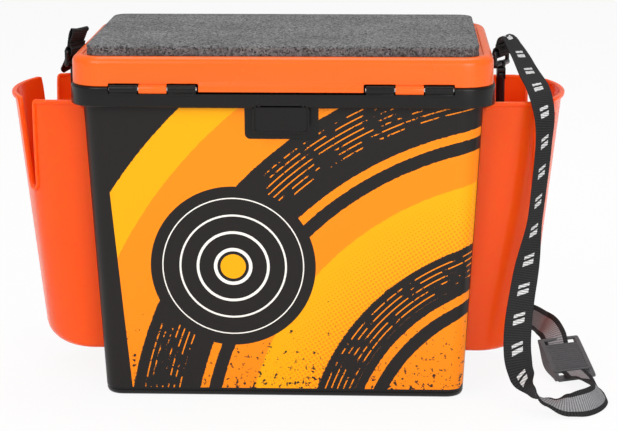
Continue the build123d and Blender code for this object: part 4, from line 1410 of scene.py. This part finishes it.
def pocket_bead(tub, pocket):
    """Rolled lip along the pocket's rim and round its slots: a rounded section carried along the top edge.
    One axis of the section is the way the wall faces, the other lies in the wall, square to the edge. The
    section is (a |cos t|^p, b |sin t|^p) with their signs, and b is less where the edge is steep."""
    points, smoothings, section_points, power = 760, 5, 20, 0.75
    steep_share, past_wall, over_edge = 0.25, 0.0003, 0.0004
    spots = pocket_spots(pocket)
    top = pocket_top(tub, pocket, spots)
    x, y, facing = pocket_plan(tub, pocket, top, 0.0, spots)
    line = np.column_stack([x, y, top, facing])[spots[0] > 0]
    line, even = spread_evenly(line, way_along(line[:, :3]), points)
    for _ in range(smoothings):
        line[1:-1] = (line[:-2] + 2 * line[1:-1] + line[2:]) / 4
    along = heading(line[:, :3])
    out = square_to(along, np.column_stack([np.cos(line[:, 3]), np.sin(line[:, 3]), 0 * even]))
    into = np.cross(along, out)
    turn = np.linspace(0, 2 * np.pi, section_points, endpoint=False)
    deep, tall = (np.sign(wave) * np.abs(wave) ** power for wave in (np.cos(turn), np.sin(turn)))
    half_deep = (pocket.wall + past_wall + pocket.bead) / 2
    half_tall = pocket.bead_tall / 2 * (1 - steep_share * np.abs(along[:, 2]))
    centre = line[:, :3] + out * (pocket.bead - half_deep) + into * (half_tall - over_edge)[:, None]
    return carried(centre, out, into, half_deep * deep, half_tall[:, None] * tall)


def for_hand(surface, hand):
    """A surface made for the right, or turned half a turn about Z for the left."""
    return surface if hand == "right" else half_turned(surface)


class BOX_OT_pockets(bpy.types.Operator):
    """Pockets hung on both ends of the tub"""

    bl_idname = "fishing_box.pockets"
    bl_label = "Pockets"

    def execute(self, context):
        tub = context.scene.box_tub
        pocket = context.scene.box_pocket
        pieces = (("_shell", pocket_shell(tub, pocket), 40.0), ("_bead", pocket_bead(tub, pocket), 60.0))
        red = finish_of(pocket_polypropylene)
        for hand in SIDES:
            node = "pocket_" + hand
            for ending, surface, sharp in pieces:
                placed = for_hand(surface, hand)
                add_piece(node + ending, placed, red, hand + "_pocket", (node,), sharp)
        return {"FINISHED"}


# How far the right hook's eye and sewn end are turned about Z, in degrees, and the radius of the eye's bar
HOOK_YAW = -25.0
EYE_BAR = 0.002


def swivel_ring():
    """Swivel eye on the right hook: a round boss on the hook's stud, and a ring of round bars for the
    webbing."""
    half, bar_over, foot, chamfer, post_over = 0.0148, 0.0012, 0.0028, 0.0012, 0.001
    boss_radii = (0.0036, 0.0044, 0.0044, 0.0034, 0.0015)
    boss_heights = (0.0, 0.0006, 0.0036, 0.0052, 0.0058)
    low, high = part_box("swivel_eye_right")
    top = high[2] - EYE_BAR
    rise = top - low[2] - foot
    surfaces = [moved(reordered(lathe(boss_radii, boss_heights, 28), [1, 2, 0]), (0.0, 0.0, low[2]))]
    for radius, height in ((EYE_BAR, top), (foot, low[2] + foot)):
        bar = reordered(round_bar(half + bar_over, radius, chamfer, 24), [1, 0, 2])
        surfaces.append(moved(bar, (0.0, 0.0, height)))
    post = reordered(round_bar(rise / 2 + post_over, EYE_BAR, chamfer, 24), [1, 2, 0])
    for side in (-1, 1):
        surfaces.append(moved(post, (0.0, side * half, low[2] + foot + rise / 2)))
    return turned_about(joined(surfaces), HOOK_YAW, ((low[0] + high[0]) / 2, 0.0))


class BOX_OT_hooks(bpy.types.Operator):
    """Strap hooks with their gates and swivel eyes"""

    bl_idname = "fishing_box.hooks"
    bl_label = "Hooks"

    def execute(self, context):
        black = finish_of(hook_acetal)
        for hand in SIDES:
            dressed_copy("hook_" + hand, black, "box", 0.0008)
            dressed_copy("hook_gate_" + hand, black, hand + "_gate", 0.0004)
            node = "swivel_eye_" + hand
            add_piece(node + "_ring", for_hand(swivel_ring(), hand), black, "box", (node,), 40.0)
        return {"FINISHED"}


def spline_line(route, spacing):
    """Evenly spaced points on a NURBS curve of order 3 whose control points are the route's, and their
    distances from its start."""
    curve = bpy.data.curves.new("strap_line", "CURVE")
    curve.dimensions = "3D"
    curve.resolution_u = 24
    spline = curve.splines.new("NURBS")
    spline.points.add(len(route) - 1)
    weighted = np.column_stack([np.array(route), np.ones(len(route))])
    spline.points.foreach_set("co", weighted.ravel())
    spline.order_u = 3
    spline.use_endpoint_u = True
    holder = bpy.data.objects.new("strap_line", curve)
    mesh = bpy.data.meshes.new_from_object(holder)
    points = np.empty(3 * len(mesh.vertices))
    mesh.vertices.foreach_get("co", points)
    points = points.reshape(-1, 3)
    bpy.data.objects.remove(holder)
    bpy.data.meshes.remove(mesh)
    far = way_along(points)
    return spread_evenly(points, far, int(far[-1] / spacing) + 1)


def width_along(line, route, hints):
    """Direction of the webbing's width at each point: the hints, eased between the points of the line
    nearest to their places on the route, and made square to the line; and the way that its face looks."""
    spots = [int(np.argmin(np.linalg.norm(line - np.array(route[number]), axis=1))) for number, _ in hints]
    ways = unit(np.array([way for _, way in hints]))
    share = np.interp(np.arange(len(line)), spots, np.arange(len(spots)))
    low = np.clip(share.astype(int), 0, len(spots) - 2)
    part = eased(share - low)[:, None]
    along = heading(line)
    across = square_to(along, ways[low] * (1 - part) + ways[low + 1] * part)
    return across, np.cross(along, across)


def webbing_section(strap):
    """Flat section with round edges: width, thickness, and the side as 1 for the face and -1 for the
    reverse."""
    flat_points = 11
    edge = strap.thick / 2
    end = (strap.width - strap.thick) / 2
    flat = np.linspace(-1, 1, flat_points) * end
    turn = arc(4, -90, 90)[1:-1]
    wide = np.concatenate([flat, end + edge * np.cos(-turn), flat[::-1], -end - edge * np.cos(turn)])
    face = np.full(flat_points, edge)
    thick = np.concatenate([face, edge * np.sin(-turn), -face, edge * np.sin(turn)])
    return wide, thick, np.round(thick / edge)


def ribbon(line, far, across, facing, strap):
    """Webbing: the section at each point of the line; its thickness ripples with the weft,
    t (1 - d cos²(pi s / rib)). The weave is the way along, the way across and the side of each point."""
    ripple_depth = 0.28
    wide, thick, side = webbing_section(strap)
    ripple = 1 - ripple_depth * np.cos(np.pi * far / strap.rib) ** 2
    weave = np.stack(np.broadcast_arrays(far[:, None], wide[None, :], side[None, :]), axis=-1)
    return carried(line, across, facing, wide, ripple[:, None] * thick), weave.reshape(-1, 3)


def add_webbing(name, surface, weave, node):
    """Piece of webbing with its weave noted on its points."""
    piece = add_piece(name, surface, finish_of(strap_polyester), "box", (node,), 60.0)
    notes = piece.data.attributes.new("weave", "FLOAT_VECTOR", "POINT")
    notes.data.foreach_set("vector", weave.astype(np.float32).ravel())
    return piece


def strap_end_band(strap, lean):
    """Sewn end of the webbing on the right: a plain band folded round the swivel eye's bar, tipped about it
    by a lean in degrees."""
    inner, narrowing, shoulder, seam, points = 0.0028, 0.8, 0.0035, 0.003, 90
    low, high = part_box("strap_end_right")
    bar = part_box("swivel_eye_right")[1][2] - EYE_BAR
    edge = strap.thick / 2
    reach = inner + edge
    rise = high[2] - bar
    bend = arc(10, 180.0, 360.0)
    line = np.concatenate([
        [(-edge, rise), (-edge, rise - seam), (-reach * narrowing, shoulder)],
        np.column_stack([reach * np.cos(bend), reach * np.sin(bend)]),
        [(reach * narrowing, shoulder), (edge, rise - seam), (edge, rise)],
    ])
    line, far = spread_evenly(line, way_along(line), points)
    cos, sin = math.cos(math.radians(lean)), math.sin(math.radians(lean))
    path = np.column_stack([
        line[:, 0] * cos + line[:, 1] * sin,
        np.zeros(points),
        line[:, 1] * cos - line[:, 0] * sin + bar,
    ])
    across = np.tile([0.0, 1.0, 0.0], (points, 1))
    surface, weave = ribbon(path, far, across, np.cross(heading(path), across), strap)
    weave[:, 2] = 0.0
    return turned_about(surface, HOOK_YAW, ((low[0] + high[0]) / 2, 0.0)), weave


def strap_piece(node, route, hints, strap, plain):
    """One stretch of the strap, the line that it follows and its length. The weave is plain up to a distance
    from its start."""
    line, far = spline_line(route, strap.rib / 4)
    across, facing = width_along(line, route, hints)
    surface, weave = ribbon(line, far, across, facing, strap)
    weave[weave[:, 0] < plain, 2] = 0.0
    return add_webbing(node + "_webbing", surface, weave, node), line, far[-1]


class BOX_OT_strap(bpy.types.Operator):
    """Webbing strap with its sewn ends"""

    bl_idname = "fishing_box.strap"
    bl_label = "Strap"

    def execute(self, context):
        strap = context.scene.box_strap
        ends = {}
        for hand, lean in (("left", -14.0), ("right", 4.0)):
            surface, weave = strap_end_band(strap, lean)
            node = "strap_end_" + hand
            ends[hand] = add_webbing(node + "_sewn", for_hand(surface, hand), weave, node)
        slider = bpy.data.objects["strap_slider_ladder"]
        stretches = (
            ("strap_front", FRONT_ROUTE, FRONT_ACROSS, 0.004, [ends["right"], slider]),
            ("strap_rear", REAR_ROUTE, REAR_ACROSS, 0.075, [ends["left"]]),
        )
        for node, route, hints, plain, others in stretches:
            piece, line, reach = strap_piece(node, route, hints, strap, plain)
        return {"FINISHED"}


def slider_surface():
    """Slider lying flat, width along X and height along Y: two bowed side walls, a ribbed plate whose top is
    z = t + a cos(2 pi y / pitch), a thin bar at the upper end, and a lip and a thick bar at the lower."""
    half_x, half_y, slot_half = 0.021, 0.025, 0.0165
    wall_half, wall_bow = 0.002, 0.008
    plate_half, plate_low, plate_high = half_x - 0.001, -0.0145, 0.0165
    plate_under, plate_top, rib_height, rib_pitch = -0.001, 0.0016, 0.0005, 0.0024
    bar_half, bar_radius, bar_chamfer, bar_inset = half_x - 0.0008, 0.0017, 0.0006, 0.0019
    lip_low, lip_high, lip_top, lip_ease = -0.0158, -0.0134, 0.003, 0.0009
    foot_half, foot_high, foot_under, foot_top, foot_ease = slot_half + 0.002, 0.0062, -0.002, 0.0018, 0.0014
    v = np.linspace(-half_y, half_y, 41)
    ends = np.sqrt(np.clip(1 - (np.abs(v) / half_y) ** 8, 0, None))
    upper = wall_half * ends
    lower = -wall_half * ends - wall_bow * np.cos(np.pi * v / (2 * half_y)) ** 2
    wall = np.column_stack([np.concatenate([v, v[::-1]]), np.concatenate([lower, upper[::-1]])])[1:-1]
    ribs = np.linspace(plate_low, plate_high, 131)
    top = plate_top + rib_height * np.cos(2 * np.pi * ribs / rib_pitch)
    plate = np.column_stack([
        np.concatenate([ribs, ribs[[-1, 0]]]), np.concatenate([top, [plate_under, plate_under]]),
    ])
    bar = round_bar(bar_half, bar_radius, bar_chamfer, 20)
    return joined([
        extruded(wall, -half_x, -slot_half),
        extruded(wall, slot_half, half_x),
        extruded(plate, -plate_half, plate_half),
        moved(bar, (0.0, half_y - bar_inset, 0.0)),
        soft_block((-plate_half, lip_low, plate_under), (plate_half, lip_high, lip_top), lip_ease),
        soft_block((-foot_half, -half_y, foot_under), (foot_half, foot_high - half_y, foot_top), foot_ease),
    ])


def slider_placed(surface):
    """The slider leaned back, turned about Z and put in its place."""
    lean = Matrix.Rotation(math.radians(90 - SLIDER_LEAN), 3, "X")
    turn = Matrix.Rotation(math.radians(SLIDER_YAW), 3, "Z") @ lean
    return surface[0] @ np.array(turn).T + np.array(SLIDER_PLACE), surface[1]


class BOX_OT_slider(bpy.types.Operator):
    """Slider buckle on the strap"""

    bl_idname = "fishing_box.slider"
    bl_label = "Slider"

    def execute(self, context):
        placed = slider_placed(slider_surface())
        nylon = finish_of(slider_nylon)
        add_piece("strap_slider_ladder", placed, nylon, "box", ("strap_slider",), 30.0, 0.0005)
        return {"FINISHED"}


def floor_sheet():
    """Pale studio floor: seen straight on it is white, and it darkens where the box shades it."""
    white_share = 0.9
    material, tree = new_material("floor_sheet")
    path = add_node(tree, "ShaderNodeLightPath").outputs
    seen = path["Is Camera Ray"]
    for ray in ("Is Glossy Ray", "Is Transmission Ray"):
        seen = add_node(tree, MATHS, {0: seen, 1: path[ray]}, operation="MAXIMUM")
    share = add_node(tree, MATHS, {0: seen, 1: white_share}, operation="MULTIPLY")
    matt = add_node(tree, "ShaderNodeBsdfDiffuse", {"Color": rgba(finishes().floor)})
    white = add_node(tree, "ShaderNodeEmission", {"Color": rgba((1.0, 1.0, 1.0)), "Strength": 1.0})
    sheet = add_node(tree, "ShaderNodeMixShader", {0: share, 1: matt, 2: white})
    add_node(tree, "ShaderNodeOutputMaterial", {"Surface": sheet})
    return material


def add_floor():
    """Flat floor, wide enough to fill the view."""
    reach = 8.0
    corners = [(-reach, -reach, 0.0), (reach, -reach, 0.0), (reach, reach, 0.0), (-reach, reach, 0.0)]
    mesh = bpy.data.meshes.new("studio_floor")
    mesh.from_pydata(corners, [], [(0, 1, 2, 3)])
    mesh.materials.append(floor_sheet())
    ground = bpy.data.objects.new("studio_floor", mesh)
    ground.location.z = -0.0002
    bpy.context.collection.objects.link(ground)


def add_world():
    """White surroundings: full white to the eye, and a softer white as light."""
    world = bpy.data.worlds.new("studio")
    world.use_nodes = True
    tree = world.node_tree
    tree.nodes.clear()
    as_light, to_the_eye = 0.42, 1.0
    seen = add_node(tree, "ShaderNodeLightPath").outputs["Is Camera Ray"]
    strength = add_node(tree, SPAN, {"Value": seen, 3: as_light, 4: to_the_eye})
    back = add_node(tree, "ShaderNodeBackground", {"Color": rgba((1.0, 1.0, 1.0)), "Strength": strength})
    add_node(tree, "ShaderNodeOutputWorld", {"Surface": back})
    bpy.context.scene.world = world


def add_softbox(name, place, aim, size, power):
    """Square soft lamp at a place, turned towards a point."""
    lamp = bpy.data.lights.new(name, "AREA")
    lamp.shape = "SQUARE"
    lamp.size = size
    lamp.energy = power
    holder = bpy.data.objects.new(name, lamp)
    holder.location = place
    holder.rotation_euler = (Vector(aim) - Vector(place)).to_track_quat("-Z", "Y").to_euler()
    bpy.context.collection.objects.link(holder)


def add_camera():
    """Camera of the photograph: turned by its yaw, tipped down by its pitch, then rolled."""
    yaw, pitch, roll = (math.radians(value) for value in (CAMERA_YAW, CAMERA_PITCH, CAMERA_ROLL))
    data = bpy.data.cameras.new("photo_camera")
    data.sensor_fit = "HORIZONTAL"
    data.sensor_width = CAMERA_SENSOR
    data.lens = CAMERA_LENS
    data.clip_end = 50.0
    eye = bpy.data.objects.new("photo_camera", data)
    tip = Matrix.Rotation(math.pi / 2 - pitch, 4, "X") @ Matrix.Rotation(roll, 4, "Z")
    eye.matrix_world = Matrix.Translation(CAMERA_PLACE) @ Matrix.Rotation(yaw, 4, "Z") @ tip
    bpy.context.collection.objects.link(eye)
    bpy.context.scene.camera = eye


class BOX_OT_stage(bpy.types.Operator):
    """Floor, soft lamps, surroundings and the photograph's camera"""

    bl_idname = "fishing_box.stage"
    bl_label = "Stage"

    def execute(self, context):
        context.scene.view_settings.view_transform = "Standard"
        add_floor()
        add_world()
        middle = (0.0, 0.0, 0.18)
        add_softbox("key_softbox", (-1.1, -1.9, 1.7), middle, 1.4, 24.0)
        add_softbox("fill_softbox", (1.1, -2.2, 1.0), middle, 1.4, 28.0)
        add_softbox("top_softbox", (0.1, 0.5, 2.2), middle, 1.6, 22.0)
        add_camera()
        return {"FINISHED"}


STEPS = (
    BOX_OT_stage, BOX_OT_slider, BOX_OT_strap, BOX_OT_tub, BOX_OT_label, BOX_OT_lid, BOX_OT_hinge_rods,
    BOX_OT_seat_pad, BOX_OT_pockets, BOX_OT_hooks,
)
GROUPS = {
    "box_tub": TubSizes,
    "box_lid": LidSizes,
    "box_pocket": PocketSizes,
    "box_strap": StrapSizes,
    "box_finishes": Finishes,
}


class BOX_PT_panel(bpy.types.Panel):
    """Steps that dress the box, and its sizes and colours"""

    bl_idname = "BOX_PT_panel"
    bl_label = "Fishing box"
    bl_space_type = "VIEW_3D"
    bl_region_type = "UI"
    bl_category = "Fishing box"

    def draw(self, context):
        for step in STEPS:
            self.layout.operator(step.bl_idname)
        for name, group in GROUPS.items():
            column = self.layout.column(heading=group.__doc__)
            for key in group.__annotations__:
                column.prop(getattr(context.scene, name), key)


def register():
    """Make the sizes, the steps and the panel known to Blender."""
    for name, group in GROUPS.items():
        bpy.utils.register_class(group)
        setattr(bpy.types.Scene, name, PointerProperty(type=group))
    for kind in (*STEPS, BOX_PT_panel):
        bpy.utils.register_class(kind)


def unregister():
    """Take them away again, in the other order."""
    for kind in (BOX_PT_panel, *reversed(STEPS)):
        bpy.utils.unregister_class(kind)
    for name, group in reversed(GROUPS.items()):
        delattr(bpy.types.Scene, name)
        bpy.utils.unregister_class(group)


def main():
    """Dress the box step by step and note the CAD's box and the dressed one's."""
    register()
    for step in STEPS:
        group, name = step.bl_idname.split(".")
        getattr(getattr(bpy.ops, group), name)()


if __name__ == "__main__":
    main()
